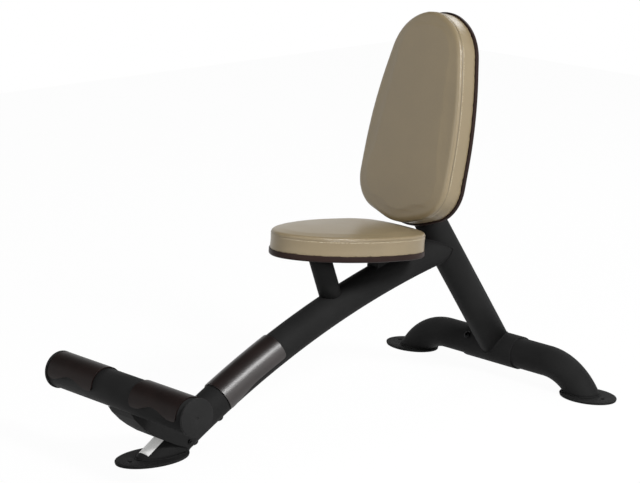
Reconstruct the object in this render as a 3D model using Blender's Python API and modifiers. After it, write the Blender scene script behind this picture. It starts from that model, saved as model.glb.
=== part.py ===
"""Utility bench: a fixed, upright-backed seat on a curved tube frame, for weight training.

Sizes are in metres. X runs across the bench, -Y to the user's front, +Z up, and the floor is Z = 0.
Places along the bench are first measured from the rear cross tube's axis, as negative distances
towards the front; REAR_Y then centres the whole bench on the origin.
"""

import math

import bmesh
import bpy
import numpy as np
from mathutils import Matrix, Vector

# Fits
GAP = 0.0003                   # between two pieces that touch
WELD = 0.00001                 # points closer than this are one
TUBE_SIDES = 32
OUTLINE_POINTS = 48
CORNER_STEPS = 24

# Foot plates, of steel on a thin rubber pad
PLATE_THICKNESS = 0.004
PLATE_EDGE = 0.0008
FOOT_PAD_THICKNESS = 0.002
FOOT_PAD_INSET = 0.001
FRONT_PLATE_OFFSET = 1.152     # from the rear axis to the plate's middle
FRONT_PLATE_WIDTH = 0.132
FRONT_PLATE_LENGTH = 0.200
REAR_PLATE_SPREAD = 0.330      # from the middle of the bench to each rear plate's middle
REAR_PLATE_WIDTH = 0.168
REAR_PLATE_LENGTH = 0.118
ANCHOR_HOLE = 0.011
ANCHOR_TO_EDGE = 0.034         # from the hole's middle to the plate's outer end

# Main frame: the long curved tube and the upright are one size of tube
FRAME_TUBE = 0.0822
FRAME_WALL = 0.003
MAIN_FOOT_SETBACK = 0.028      # tube's foot, behind the front plate's middle
MAIN_BEND_RADIUS = 2.48
JUNCTION_DROP = 0.0302         # where the tubes' axes meet, below the seat's underside
UPRIGHT_ANGLE = math.radians(56.46)
MAIN_TUBE_STEPS = 13

# Rear cross tube, an arch, and the sleeve that the upright stands on
CROSS_TUBE = 0.0804
CROSS_WALL = 0.003
CROSS_HEIGHT = 0.0660
CROSS_STRAIGHT = 0.186         # half of the level middle
CROSS_BEND_RADIUS = 0.1606
CROSS_BEND_STEPS = 7
SLEEVE_ENDS = (-0.0975, 0.088)
SLEEVE_WALL = 0.003
SLEEVE_BOLT_PLACE = -0.075     # across the bench
SLEEVE_BOLT_ANGLE = math.radians(58)   # from the top, towards the front

# Foot bar
FOOT_BAR_OFFSET = 1.224
FOOT_BAR_HEIGHT = 0.1763
FOOT_BAR_TUBE = 0.0855
FOOT_BAR_WALL = 0.003
FOOT_BAR_HALF_LENGTH = 0.267   # over the end caps
CAP_DIAMETER = 0.0925
CAP_THICKNESS = 0.006
CAP_PLUG_LENGTH = 0.018
CAP_EDGE = 0.0015
CAP_DIMPLE = 0.0025

# Wear guards: thin moulded covers that snap over a tube
GUARD_WALL = 0.0029
GUARD_CORNER = 0.010
GUARD_EDGE_STEPS = 15
BAR_GUARD_LENGTH = 0.177
LEFT_GUARD_TO_CAP = 0.005
RIGHT_GUARD_TO_CAP = 0.017
BAR_GUARD_EDGE = 0.0           # lower edge's mean height over the bar's axis
BAR_GUARD_WAVE = 0.0078
BAR_GUARD_WAVE_SHARE = 0.79    # the wave's period, as a share of the guard's length
MAIN_GUARD_START = 0.201       # along the main tube, from its foot
MAIN_GUARD_LENGTH = 0.199
MAIN_GUARD_EDGE = -0.0095      # lower edge's height over the tube's axis
MAIN_GUARD_FLARE = 0.0150
MAIN_GUARD_FLARE_SHARE = 0.5
MAIN_GUARD_STEPS = 5

# Arm between the main tube and the foot bar
ARM_HALF_WIDTH = 0.0463
ARM_FRONT = ((-0.0249, -0.0326), (-0.0110, -0.0540), (0.0120, -0.0780))     # from the bar's axis
ARM_REAR = (0.0480, 0.0095)
ARM_BASE = ((-1.190, 0.0805), (-1.163, 0.0622), (-1.136, 0.0478), (-1.112, 0.0350), (-1.090, 0.0268),
            (-1.0745, 0.0215), (-1.0624, 0.0250), (-1.0562, 0.0365), (-1.044, 0.070), (-1.034, 0.114),
            (-1.046, 0.123))
CROSS_BOLT_PLACE = 0.058       # along the main tube, from its foot
CROSS_BOLT_RADIUS = 0.004
CROSS_BOLT_HEAD = 1.35         # heads' radius, as a share of the shank's
ARM_BOLT_PLACES = (0.089, 0.180)
ARM_BOLT_RADIUS = 0.005
ARM_BOLT_DEPTH = 0.014
ARM_BOLT_HEAD = 2.2
ARM_BOLT_HEAD_HEIGHT = 0.009

# Seat post
POST_TUBE = 0.050
POST_WALL = 0.003
POST_PLACE = 0.6085            # along the main tube, from its foot

# Seat: a teardrop, broad and square at the rear
SEAT_OFFSET = 0.5146           # to the seat's widest line, on its underside
SEAT_HEIGHT = 0.4038
SEAT_TILT = math.radians(5.96)
SEAT_HALF_WIDTH = 0.141
SEAT_NOSE = 0.2525
SEAT_TAIL = 0.166
SEAT_NOSE_POWER = 1.9
SEAT_TAIL_POWER = 3.3
SEAT_WALL = 0.038
SEAT_EDGE_RADIUS = 0.0075
SEAT_CROWN = 0.008
SEAT_SHELL_HEIGHT = 0.0155
SEAT_SHELL_LIP = 0.0016        # how far the shell stands out from the cushion
SEAT_PLATE = (0.120, 0.110, 0.005)
SEAT_BRACKET_PLATE = (0.104, 0.046, 0.005)
SEAT_BRACKET_OFFSET = 0.426
SEAT_BRACKET_STUB = 0.040
SEAT_BOLT_SPREAD = 0.042

# Back pad: an egg, broadest low down. Its corners are given across, up, and with their rounding
BACK_OFFSET = 0.3160           # to the lowest point of the pad's back
BACK_RISE = 0.0364             # above the seat's underside
BACK_LEAN = math.radians(13.88)
BACK_FOOT = (0.0, 0.0, 0.160)
BACK_SIDE = ((0.1619, 0.0493, 0.0926), (0.1603, 0.2884, 1.041), (0.1115, 0.5062, 0.129))
BACK_TOP = (0.0, 0.5583, 0.120)
BACK_OUTLINE_POINTS = 56
BACK_WALL = 0.0425
BACK_EDGE_RADIUS = 0.0100
BACK_CROWN = 0.007
BACK_SHELL_HEIGHT = 0.0120
BACK_SHELL_LIP = 0.0045
BACK_PLATE = (0.150, 0.250, 0.005)
BACK_PLATE_CORNER = 0.028
BACK_PLATE_DROP = 0.056        # from the upright's axis down to the plate's lower end
BACK_BOLT_SPREAD = 0.058
BACK_BOLT_ROWS = (0.040, 0.222)    # up the plate, from its lower end
GUSSET_THICKNESS = 0.006
GUSSET_RISE = 0.115            # up the plate, from the upright's axis
GUSSET_RUN = 0.068             # down the upright, from the plate

# Upholstery
SHELL_WALL = 0.0025
SHELL_FILLET = 0.005
CUSHION_PULL = 0.0012          # how far the sides draw in between their seams
CUSHION_FOOT = 0.0015
CROWN_RINGS = (0.82, 0.62, 0.42, 0.22, 0.06)
PAD_BOLT_RADIUS = 0.004
BOLT_CLEARANCE = 0.0005
BOLT_SIDES = 16

# What follows from the sizes above
FLOOR_TO_PLATE_TOP = FOOT_PAD_THICKNESS + GAP + PLATE_THICKNESS
FRONT_REACH = max(FOOT_BAR_OFFSET + CAP_DIAMETER / 2, FRONT_PLATE_OFFSET + FRONT_PLATE_LENGTH / 2)
BAR_END = FOOT_BAR_HALF_LENGTH - CAP_THICKNESS
LEFT_GUARD = LEFT_GUARD_TO_CAP - BAR_END                       # the middle of the bench is 0
RIGHT_GUARD = BAR_END - RIGHT_GUARD_TO_CAP - BAR_GUARD_LENGTH
REAR_Y = (FRONT_REACH - REAR_PLATE_LENGTH / 2) / 2
JUNCTION_HEIGHT = SEAT_HEIGHT - JUNCTION_DROP
BACK_HEIGHT = SEAT_HEIGHT + BACK_RISE
JUNCTION_OFFSET = (JUNCTION_HEIGHT - CROSS_HEIGHT) / math.tan(UPRIGHT_ANGLE)
MAIN_FOOT = (MAIN_FOOT_SETBACK - FRONT_PLATE_OFFSET, FLOOR_TO_PLATE_TOP)
SLEEVE_RADIUS = CROSS_TUBE / 2 + GAP + SLEEVE_WALL
TRIM = 0.10                    # how far a tube runs past the place where it is cut


def clear_of(radius):
    """The radius of a faceted hole that clears a round piece of this radius."""
    return (radius + GAP) / math.cos(math.pi / TUBE_SIDES)


def place(y, z, x=0.0):
    """A point given from the rear axis, in world coordinates."""
    return Vector((x, REAR_Y + y, z))


def linear(code):
    """A hex sRGB colour as linear red, green, blue and alpha."""
    shares = [int(code[i:i + 2], 16) / 255 for i in (0, 2, 4)]
    return tuple(s / 12.92 if s <= 0.04045 else ((s + 0.055) / 1.055) ** 2.4 for s in shares) + (1.0,)


def material(name, code, roughness, metallic=0.0):
    made = bpy.data.materials.new(name)
    made.use_nodes = True
    shader = made.node_tree.nodes["Principled BSDF"]
    shader.inputs["Base Color"].default_value = linear(code)
    shader.inputs["Roughness"].default_value = roughness
    shader.inputs["Metallic"].default_value = metallic
    made.diffuse_color = linear(code)
    return made


def clear_scene():
    for old in list(bpy.data.objects):
        bpy.data.objects.remove(old)
    collections = []
    for name in ("utility_bench", "cutters"):
        made = bpy.data.collections.new(name)
        bpy.context.scene.collection.children.link(made)
        collections.append(made)
    return collections


def empty(name, location, turn):
    """A local frame, turned about X, that pads and their fittings are parented to."""
    made = bpy.data.objects.new(name, None)
    made.location = location
    made.rotation_euler = (turn, 0, 0)
    PARTS.objects.link(made)
    bpy.context.view_layer.update()
    return made


def piece(name, mesh, finish, matrix=None, parent=None):
    """A sub-part: one object, with its own material."""
    made = bpy.data.objects.new(name, mesh)
    PARTS.objects.link(made)
    mesh.name = name
    mesh.materials.clear()
    mesh.materials.append(finish)
    mesh.shade_smooth()
    mesh.set_sharp_from_angle(angle=math.radians(35))
    made.parent = parent
    if matrix is not None:
        made.matrix_local = matrix
    return made


def cutter(name, mesh, matrix=None, parent=None):
    """A helper that shapes other pieces and isn't one itself."""
    made = bpy.data.objects.new(name, mesh)
    CUTTERS.objects.link(made)
    made.hide_render = True
    made.display_type = "WIRE"
    made.parent = parent
    if matrix is not None:
        made.matrix_local = matrix
    return made


def cut(target, *cutters, operation="DIFFERENCE"):
    for tool in cutters:
        modifier = target.modifiers.new(tool.name, "BOOLEAN")
        modifier.operation = operation
        modifier.object = tool


def bevel(target, width, segments):
    modifier = target.modifiers.new("soft edges", "BEVEL")
    modifier.width = width
    modifier.segments = segments
    modifier.limit_method = "ANGLE"
    modifier.angle_limit = math.radians(50)


def welded(mesh):
    work = bmesh.new()
    work.from_mesh(mesh)
    bmesh.ops.remove_doubles(work, verts=work.verts, dist=WELD)
    bmesh.ops.recalc_face_normals(work, faces=work.faces)
    work.to_mesh(mesh)
    work.free()
    return mesh


def mesh_of_curve(curve):
    """The closed mesh of a curve, whose own object is removed again."""
    guide = bpy.data.objects.new("guide", curve)
    bpy.context.scene.collection.objects.link(guide)
    bpy.context.view_layer.update()
    graph = bpy.context.evaluated_depsgraph_get()
    mesh = bpy.data.meshes.new_from_object(guide.evaluated_get(graph))
    bpy.data.objects.remove(guide)
    return welded(mesh)


def rod_mesh(points, radius, sides=TUBE_SIDES):
    """A solid round bar along points, with flat ends."""
    curve = bpy.data.curves.new("rod", "CURVE")
    curve.dimensions = "3D"
    curve.bevel_depth = radius
    curve.bevel_resolution = sides // 2 - 2
    curve.use_fill_caps = True
    spline = curve.splines.new("POLY")
    spline.points.add(len(points) - 1)
    for point, position in zip(spline.points, points):
        point.co = (*position, 1)
    return mesh_of_curve(curve)


def sheet_mesh(outline, thickness, holes=()):
    """A flat piece in the XY plane, from Z = 0 up, with an outline and round holes (x, y, radius)."""
    curve = bpy.data.curves.new("sheet", "CURVE")
    curve.dimensions = "2D"
    curve.fill_mode = "BOTH"
    curve.extrude = thickness / 2
    rings = [outline] + [circle(radius, BOLT_SIDES) + (x, y) for x, y, radius in holes]
    for ring in rings:
        spline = curve.splines.new("POLY")
        spline.points.add(len(ring) - 1)
        spline.use_cyclic_u = True
        for point, (x, y) in zip(spline.points, ring):
            point.co = (x, y, 0, 1)
    mesh = mesh_of_curve(curve)
    mesh.transform(Matrix.Translation((0, 0, thickness / 2)))
    return mesh


def block_mesh(low, high):
    work = bmesh.new()
    bmesh.ops.create_cube(work, size=1)
    size = Vector(high) - Vector(low)
    middle = (Vector(high) + Vector(low)) / 2
    bmesh.ops.scale(work, verts=work.verts, vec=size)
    bmesh.ops.translate(work, verts=work.verts, vec=middle)
    mesh = bpy.data.meshes.new("block")
    work.to_mesh(mesh)
    work.free()
    return mesh


def turned(name, profile, finish, matrix, parent=None, steps=TUBE_SIDES):
    """A piece turned about its own Z axis from (radius, height) points, down its outer side."""
    mesh = bpy.data.meshes.new(name)
    points = [(radius, 0, height) for radius, height in profile]
    closed = profile[0][0] > 0
    edges = [(i, i + 1) for i in range(len(points) - 1)]
    if closed:
        edges.append((len(points) - 1, 0))
    mesh.from_pydata(points, edges, [])
    made = piece(name, mesh, finish, matrix, parent)
    screw = made.modifiers.new("turned", "SCREW")
    screw.steps = steps
    screw.render_steps = steps
    screw.use_merge_vertices = True
    screw.merge_threshold = WELD
    screw.use_smooth_shade = True
    return made


def aim(location, outward):
    """The matrix that puts a turned piece's Z axis along a direction."""
    return Matrix.Translation(location) @ Vector(outward).to_track_quat("Z", "Y").to_matrix().to_4x4()


def circle(radius, count):
    angles = np.arange(count) * 2 * math.pi / count
    return np.column_stack([radius * np.cos(angles), radius * np.sin(angles)])


def ellipse(width, length):
    return circle(1.0, OUTLINE_POINTS) * (width / 2, length / 2)


def rounded_rectangle(width, length, corner, steps=5):
    """Corner arcs joined by straight sides, counter-clockwise round the middle."""
    arcs = []
    for k, (sx, sy) in enumerate(((1, 1), (-1, 1), (-1, -1), (1, -1))):
        angles = math.pi / 2 * (k + np.linspace(0, 1, steps + 1))
        centre = (sx * (width / 2 - corner), sy * (length / 2 - corner))
        arcs.append(np.column_stack([np.cos(angles), np.sin(angles)]) * corner + centre)
    return np.vstack(arcs)


def egg(half_width, lower, upper, lower_power, upper_power):
    """Two half superellipses that share their widest line, Y = 0."""
    angles = (np.arange(OUTLINE_POINTS) + 0.5) * 2 * math.pi / OUTLINE_POINTS
    power = np.where(np.sin(angles) > 0, upper_power, lower_power)
    across = np.sign(np.cos(angles)) * np.abs(np.cos(angles)) ** (2 / power)
    along = np.sign(np.sin(angles)) * np.abs(np.sin(angles)) ** (2 / power)
    return np.column_stack([half_width * across, np.where(along > 0, upper, lower) * along])


def rounded_outline(foot, side, top, count):
    """Corner arcs joined by straight lines, alike on both sides, as points at even steps."""
    mirrored = [(-x, y, radius) for x, y, radius in reversed(side)]
    corners = np.array([foot, *side, top, *mirrored])
    path = []
    for before, corner, after in zip(np.roll(corners, 1, axis=0), corners, np.roll(corners, -1, axis=0)):
        back, ahead = before[:2] - corner[:2], after[:2] - corner[:2]
        back, ahead = back / np.linalg.norm(back), ahead / np.linalg.norm(ahead)
        half = math.acos(np.clip(back @ ahead, -1, 1)) / 2
        inwards = (back + ahead) / np.linalg.norm(back + ahead)
        centre = corner[:2] + inwards * corner[2] / math.sin(half)
        middle = math.atan2(-inwards[1], -inwards[0])
        angles = middle + np.linspace(half - math.pi / 2, math.pi / 2 - half, CORNER_STEPS)
        path.append(centre + corner[2] * np.column_stack([np.cos(angles), np.sin(angles)]))
    path = np.vstack(path + [path[0][:1]])
    length = np.concatenate([[0], np.cumsum(np.linalg.norm(np.diff(path, axis=0), axis=1))])
    at = (np.arange(count) + 0.5) / count * length[-1]
    return np.column_stack([np.interp(at, length, path[:, axis]) for axis in (0, 1)])


def inset(outline, distance):
    """The outline moved inwards along its normals."""
    tangent = np.roll(outline, -1, axis=0) - np.roll(outline, 1, axis=0)
    normal = np.column_stack([tangent[:, 1], -tangent[:, 0]])
    return outline - distance * normal / np.linalg.norm(normal, axis=1)[:, None]


def loft_mesh(rings, close_top=True):
    """Quads between like rings of points, with a flat cap at the bottom and, if closed, the top."""
    count = len(rings[0])
    start = np.arange(count)
    ahead = np.roll(start, -1)
    faces = [start[::-1].tolist()]
    for k in range(len(rings) - 1):
        low, high = k * count, (k + 1) * count
        faces += np.column_stack([low + start, low + ahead, high + ahead, high + start]).tolist()
    if close_top:
        faces.append((start + (len(rings) - 1) * count).tolist())
    mesh = bpy.data.meshes.new("loft")
    mesh.from_pydata(np.vstack(rings).tolist(), [], faces)
    mesh.update()
    return mesh


def ring(outline, height):
    return np.column_stack([outline, np.full(len(outline), height)])


def cushion_mesh(outline, base, wall, edge_radius, crown):
    """A pad with sides that pull in between two seams, a rolled edge and a crowned face."""
    rings = [ring(inset(outline, CUSHION_FOOT), base),
             ring(outline, base + 0.12 * wall),
             ring(inset(outline, CUSHION_PULL), base + 0.55 * wall),
             ring(outline, base + wall)]
    for angle in (0.45, 0.9, 1.25):
        rings.append(ring(inset(outline, edge_radius * (1 - math.cos(angle))),
                          base + wall + edge_radius * math.sin(angle)))
    face = inset(outline, edge_radius)
    middle = (face.max(axis=0) + face.min(axis=0)) / 2
    for share in CROWN_RINGS:
        rings.append(ring(middle + (face - middle) * share,
                          base + wall + edge_radius + crown * (1 - share ** 2)))
    return loft_mesh(rings)


def shell_mesh(outline, height, lip):
    """The outer face of a shallow tray with a rounded lower edge; Solidify gives it its wall."""
    outer = inset(outline, -lip)
    rings = [ring(inset(outer, SHELL_FILLET), 0.0)]
    for angle in (0.8,):
        rings.append(ring(inset(outer, SHELL_FILLET * (1 - math.sin(angle))),
                          SHELL_FILLET * (1 - math.cos(angle))))
    rings += [ring(outer, SHELL_FILLET), ring(outer, height)]
    return loft_mesh(rings, close_top=False)


def main_arc(distance):
    """The main tube's axis point, upward normal and forward-to-rear tangent, this far from its foot."""
    foot = np.array(MAIN_FOOT)
    top = np.array([-JUNCTION_OFFSET, JUNCTION_HEIGHT])
    chord = top - foot
    length = np.linalg.norm(chord)
    upward = np.array([-chord[1], chord[0]]) / length
    centre = (foot + top) / 2 - upward * math.sqrt(MAIN_BEND_RADIUS ** 2 - (length / 2) ** 2)
    start = math.atan2(foot[1] - centre[1], foot[0] - centre[0])
    angle = start - distance / MAIN_BEND_RADIUS
    normal = np.array([math.cos(angle), math.sin(angle)])
    point = centre + MAIN_BEND_RADIUS * normal
    return (place(*point), Vector((0, *normal)), Vector((0, normal[1], -normal[0])))


def main_arc_length():
    foot = np.array(MAIN_FOOT)
    top = np.array([-JUNCTION_OFFSET, JUNCTION_HEIGHT])
    half_chord = np.linalg.norm(top - foot) / 2
    return 2 * MAIN_BEND_RADIUS * math.asin(half_chord / MAIN_BEND_RADIUS)


def main_points(start, end):
    return [main_arc(d)[0] for d in np.linspace(start, end, MAIN_TUBE_STEPS)]


def cross_points(past):
    """The arch of the rear cross tube: level in the middle, with both ends bent down to the floor."""
    drop = CROSS_HEIGHT - FLOOR_TO_PLATE_TOP
    full = math.acos(1 - drop / CROSS_BEND_RADIUS)
    bend = np.linspace(0, full, CROSS_BEND_STEPS)
    x = CROSS_STRAIGHT + CROSS_BEND_RADIUS * np.sin(bend)
    z = CROSS_HEIGHT - CROSS_BEND_RADIUS * (1 - np.cos(bend))
    x = np.append(x, x[-1] + past * math.cos(full))
    z = np.append(z, z[-1] - past * math.sin(full))
    half = [place(0, float(b), float(a)) for a, b in zip(x, z)]
    return [Vector((-p.x, p.y, p.z)) for p in reversed(half)] + half


def upright_direction():
    return Vector((0, -math.cos(UPRIGHT_ANGLE), math.sin(UPRIGHT_ANGLE)))


def meets_plane(start, direction, frame, height):
    """Where a line meets the plane at this height in a frame, in that frame's coordinates."""
    inverse = frame.matrix_world.inverted()
    origin = inverse @ start
    step = inverse.to_3x3() @ direction
    return origin + step * ((height - origin.z) / step.z)


def bolt(name, finish, matrix, radius, length, parent=None, head=1.9, height=None):
    """A flanged button-head bolt: its head stands on Z = 0 and its shank runs down."""
    head_radius, head_height = radius * head, height or radius * 1.1
    profile = [(0, head_height), (0.45 * head_radius, head_height), (0.8 * head_radius, 0.72 * head_height),
               (head_radius, 0.28 * head_height), (head_radius, 0), (radius, 0), (radius, -length), (0, -length)]
    return turned(name, profile, finish, matrix, parent, BOLT_SIDES)


def bolt_hole(name, matrix, radius, length, parent=None):
    """A cutter for a bolt's shank, through both faces of what it passes."""
    mesh = rod_mesh([(0, 0, length / 2), (0, 0, -length)], radius + BOLT_CLEARANCE, BOLT_SIDES)
    return cutter(name, mesh, matrix, parent)


def foot(name, x, offset, width, length, hole):
    """An oval steel plate with an anchor hole, on a rubber pad of the same shape."""
    at = Matrix.Translation(place(-offset, 0, x))
    lift = Matrix.Translation((0, 0, FOOT_PAD_THICKNESS + GAP))
    holes = [(*hole, ANCHOR_HOLE / 2)]
    pad = inset(ellipse(width, length), FOOT_PAD_INSET)
    piece(name.replace("plate", "pad"), sheet_mesh(pad, FOOT_PAD_THICKNESS, holes), RUBBER, at)
    plate = piece(name, sheet_mesh(ellipse(width, length), PLATE_THICKNESS, holes), PAINT, at @ lift)
    bevel(plate, PLATE_EDGE, segments=1)


def feet():
    front_hole = (0, ANCHOR_TO_EDGE - FRONT_PLATE_LENGTH / 2)
    foot("front_foot_plate", 0, FRONT_PLATE_OFFSET, FRONT_PLATE_WIDTH, FRONT_PLATE_LENGTH, front_hole)
    for side, sign in (("left", -1), ("right", 1)):
        hole = (sign * (REAR_PLATE_WIDTH / 2 - ANCHOR_TO_EDGE), 0)
        foot(f"rear_foot_plate_{side}", sign * REAR_PLATE_SPREAD, 0, REAR_PLATE_WIDTH, REAR_PLATE_LENGTH, hole)


def floor_cutter():
    reach = 2 * FRONT_REACH
    top = FLOOR_TO_PLATE_TOP + GAP
    return cutter("below_plates", block_mesh((-reach, -reach, -reach), (reach, reach, top)))


def envelope(name, points, radius):
    """A cutter that clears a tube, for the pieces that are fitted to it."""
    return cutter(name, rod_mesh(points, clear_of(radius)))


def main_tube(floor, around_upright):
    length = main_arc_length()
    tube = piece("main_tube", rod_mesh(main_points(-TRIM, length), FRAME_TUBE / 2), PAINT)
    bore = cutter("main_bore", rod_mesh(main_points(-2 * TRIM, length + TRIM), FRAME_TUBE / 2 - FRAME_WALL))
    cut(tube, bore, floor, around_upright)
    return tube


def rear_upright(around_sleeve, behind_back):
    """The leaning tube from the sleeve up to the back plate, which takes the main tube's top end."""
    base = place(0, CROSS_HEIGHT)
    top = base + upright_direction() * (upright_length() + TRIM)
    tube = piece("rear_upright", rod_mesh([base, top], FRAME_TUBE / 2), PAINT)
    ends = [base - upright_direction() * TRIM, top + upright_direction() * TRIM]
    bore = cutter("upright_bore", rod_mesh(ends, FRAME_TUBE / 2 - FRAME_WALL))
    cut(tube, bore, around_sleeve, behind_back)
    return tube


def upright_length():
    """From the cross tube's axis to the plane of the back."""
    base = place(0, CROSS_HEIGHT)
    hit = BACK_FRAME.matrix_world @ meets_plane(base, upright_direction(), BACK_FRAME, 0)
    return (hit - base).length


def rear_cross(floor):
    tube = piece("rear_cross_tube", rod_mesh(cross_points(TRIM / 2), CROSS_TUBE / 2), PAINT)
    bore = cutter("cross_bore", rod_mesh(cross_points(TRIM), CROSS_TUBE / 2 - CROSS_WALL))
    cut(tube, bore, floor)
    inner = clear_of(CROSS_TUBE / 2)
    start, end = SLEEVE_ENDS
    profile = [(inner, end), (SLEEVE_RADIUS, end), (SLEEVE_RADIUS, start), (inner, start)]
    sleeve = turned("upright_sleeve", profile, PAINT, aim(place(0, CROSS_HEIGHT), (1, 0, 0)))
    outward = Vector((0, -math.sin(SLEEVE_BOLT_ANGLE), math.cos(SLEEVE_BOLT_ANGLE)))
    seat = aim(place(0, CROSS_HEIGHT, SLEEVE_BOLT_PLACE) + outward * (SLEEVE_RADIUS + GAP), outward)
    length = SLEEVE_WALL + CROSS_WALL + 2 * GAP + ARM_BOLT_DEPTH / 2
    bolt("sleeve_bolt", ZINC, seat, ARM_BOLT_RADIUS, length)
    hole = bolt_hole("sleeve_hole", seat, ARM_BOLT_RADIUS, 2 * length)
    cut(tube, hole)
    cut(sleeve, hole)


def bar_point(across=0.0):
    return place(-FOOT_BAR_OFFSET, FOOT_BAR_HEIGHT, across)


def foot_bar():
    """The cross bar at the front, with a plugged cap in each end."""
    half = BAR_END - GAP
    inner = FOOT_BAR_TUBE / 2 - FOOT_BAR_WALL
    profile = [(inner, half), (FOOT_BAR_TUBE / 2, half), (FOOT_BAR_TUBE / 2, -half), (inner, -half)]
    turned("foot_bar_tube", profile, PAINT, aim(bar_point(), (1, 0, 0)))
    plug = inner * math.cos(math.pi / TUBE_SIDES) - GAP
    rim, edge = CAP_DIAMETER / 2, CAP_EDGE
    cap = [(0, -CAP_DIMPLE), (CAP_DIMPLE, -CAP_DIMPLE), (2 * CAP_DIMPLE, 0), (rim - edge, 0), (rim, -edge),
           (rim, edge - CAP_THICKNESS), (rim - edge, -CAP_THICKNESS), (plug, -CAP_THICKNESS),
           (plug, -CAP_THICKNESS - CAP_PLUG_LENGTH), (0, -CAP_THICKNESS - CAP_PLUG_LENGTH)]
    for side, sign in (("left", -1), ("right", 1)):
        turned(f"foot_bar_cap_{side}", cap, PAINT, aim(bar_point(sign * FOOT_BAR_HALF_LENGTH), (sign, 0, 0)))


def lower_edge(length, height):
    """Distances along a guard and its lower edge's heights there: corners rounded, past both ends."""
    bend = GUARD_CORNER * (1 - np.cos(np.linspace(0, math.pi / 2, 5)))
    middle = np.linspace(GUARD_CORNER, length - GUARD_CORNER, GUARD_EDGE_STEPS)[1:-1]
    distances = np.concatenate([bend, middle, length - bend[::-1]])
    near_end = np.minimum(distances, length - distances)
    short = np.clip(1 - near_end / GUARD_CORNER, 0, 1)
    heights = height(distances) + GUARD_CORNER * (1 - np.sqrt(1 - short ** 2))
    past = GUARD_CORNER
    return (np.concatenate([[-past], distances, [length + past]]),
            np.concatenate([heights[:1], heights, heights[-1:]]))


def bar_guards(around_bar):
    """Two covers on the foot bar, whose lower edges rise in the middle."""
    radius = clear_of(FOOT_BAR_TUBE / 2) + GUARD_WALL
    turn = 2 * math.pi / (BAR_GUARD_WAVE_SHARE * BAR_GUARD_LENGTH)

    def height(distance):
        return BAR_GUARD_EDGE + BAR_GUARD_WAVE * np.cos(turn * (distance - BAR_GUARD_LENGTH / 2))

    distances, heights = lower_edge(BAR_GUARD_LENGTH, height)
    for side, start in (("left", LEFT_GUARD), ("right", RIGHT_GUARD)):
        ends = [bar_point(start), bar_point(start + BAR_GUARD_LENGTH)]
        top = np.column_stack([start + distances, FOOT_BAR_HEIGHT + heights])
        low = [(top[-1][0], FOOT_BAR_HEIGHT - 2 * radius), (top[0][0], FOOT_BAR_HEIGHT - 2 * radius)]
        mesh = sheet_mesh(np.vstack([top, low])[::-1], 4 * radius)
        mesh.transform(Matrix.Translation((0, 0, -2 * radius)))
        mesh.transform(Matrix(((1, 0, 0, 0), (0, 0, -1, bar_point().y), (0, 1, 0, 0), (0, 0, 0, 1))))
        edge = cutter(f"guard_edge_{side}", mesh)
        guard = piece(f"foot_bar_guard_{side}", rod_mesh(ends, radius), GUARD)
        cut(guard, around_bar, edge)


def main_guard(around_main):
    """The cover on the main tube, wrapped further round at its lower end."""
    radius = clear_of(FRAME_TUBE / 2) + GUARD_WALL

    def height(distance):
        share = np.clip(1 - distance / (MAIN_GUARD_FLARE_SHARE * MAIN_GUARD_LENGTH), 0, 1)
        return MAIN_GUARD_EDGE - MAIN_GUARD_FLARE * share * share * (3 - 2 * share)

    outline = []
    for distance, rise in zip(*lower_edge(MAIN_GUARD_LENGTH, height)):
        centre, upward, _ = main_arc(MAIN_GUARD_START + distance)
        outline.append(centre + upward * rise)
    for distance in (MAIN_GUARD_LENGTH + GUARD_CORNER, -GUARD_CORNER):
        centre, upward, _ = main_arc(MAIN_GUARD_START + distance)
        outline.append(centre - upward * 2 * radius)
    side_view = np.array([(point.y - REAR_Y, point.z) for point in outline])
    edge = cutter("main_guard_edge", side_sheet(side_view[::-1], 4 * radius))
    points = [main_arc(MAIN_GUARD_START + d)[0] for d in np.linspace(0, MAIN_GUARD_LENGTH, MAIN_GUARD_STEPS)]
    guard = piece("main_tube_guard", rod_mesh(points, radius), GUARD)
    cut(guard, around_main, edge)


def arm_outline():
    """Side view of the arm: from the bar's front down under the main tube, and back up behind the bar."""
    bar = np.array([-FOOT_BAR_OFFSET, FOOT_BAR_HEIGHT])
    return np.vstack([bar + ARM_FRONT, ARM_BASE, bar + ARM_REAR])


def side_sheet(outline, thickness):
    """A flat piece drawn in side view (y, z) and centred on the bench's middle plane."""
    mesh = sheet_mesh(outline, thickness)
    mesh.transform(Matrix.Translation((0, 0, -thickness / 2)))
    mesh.transform(Matrix(((0, 0, 1, 0), (1, 0, 0, REAR_Y), (0, 1, 0, 0), (0, 0, 0, 1))))
    return mesh


def foot_bar_arm(around_main, around_bar, floor):
    """The saddle that carries the bar, cut to fit both tubes."""
    arm = piece("foot_bar_arm", side_sheet(arm_outline(), 2 * ARM_HALF_WIDTH), PAINT)
    cut(arm, around_main, around_bar, floor)
    return arm


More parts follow.
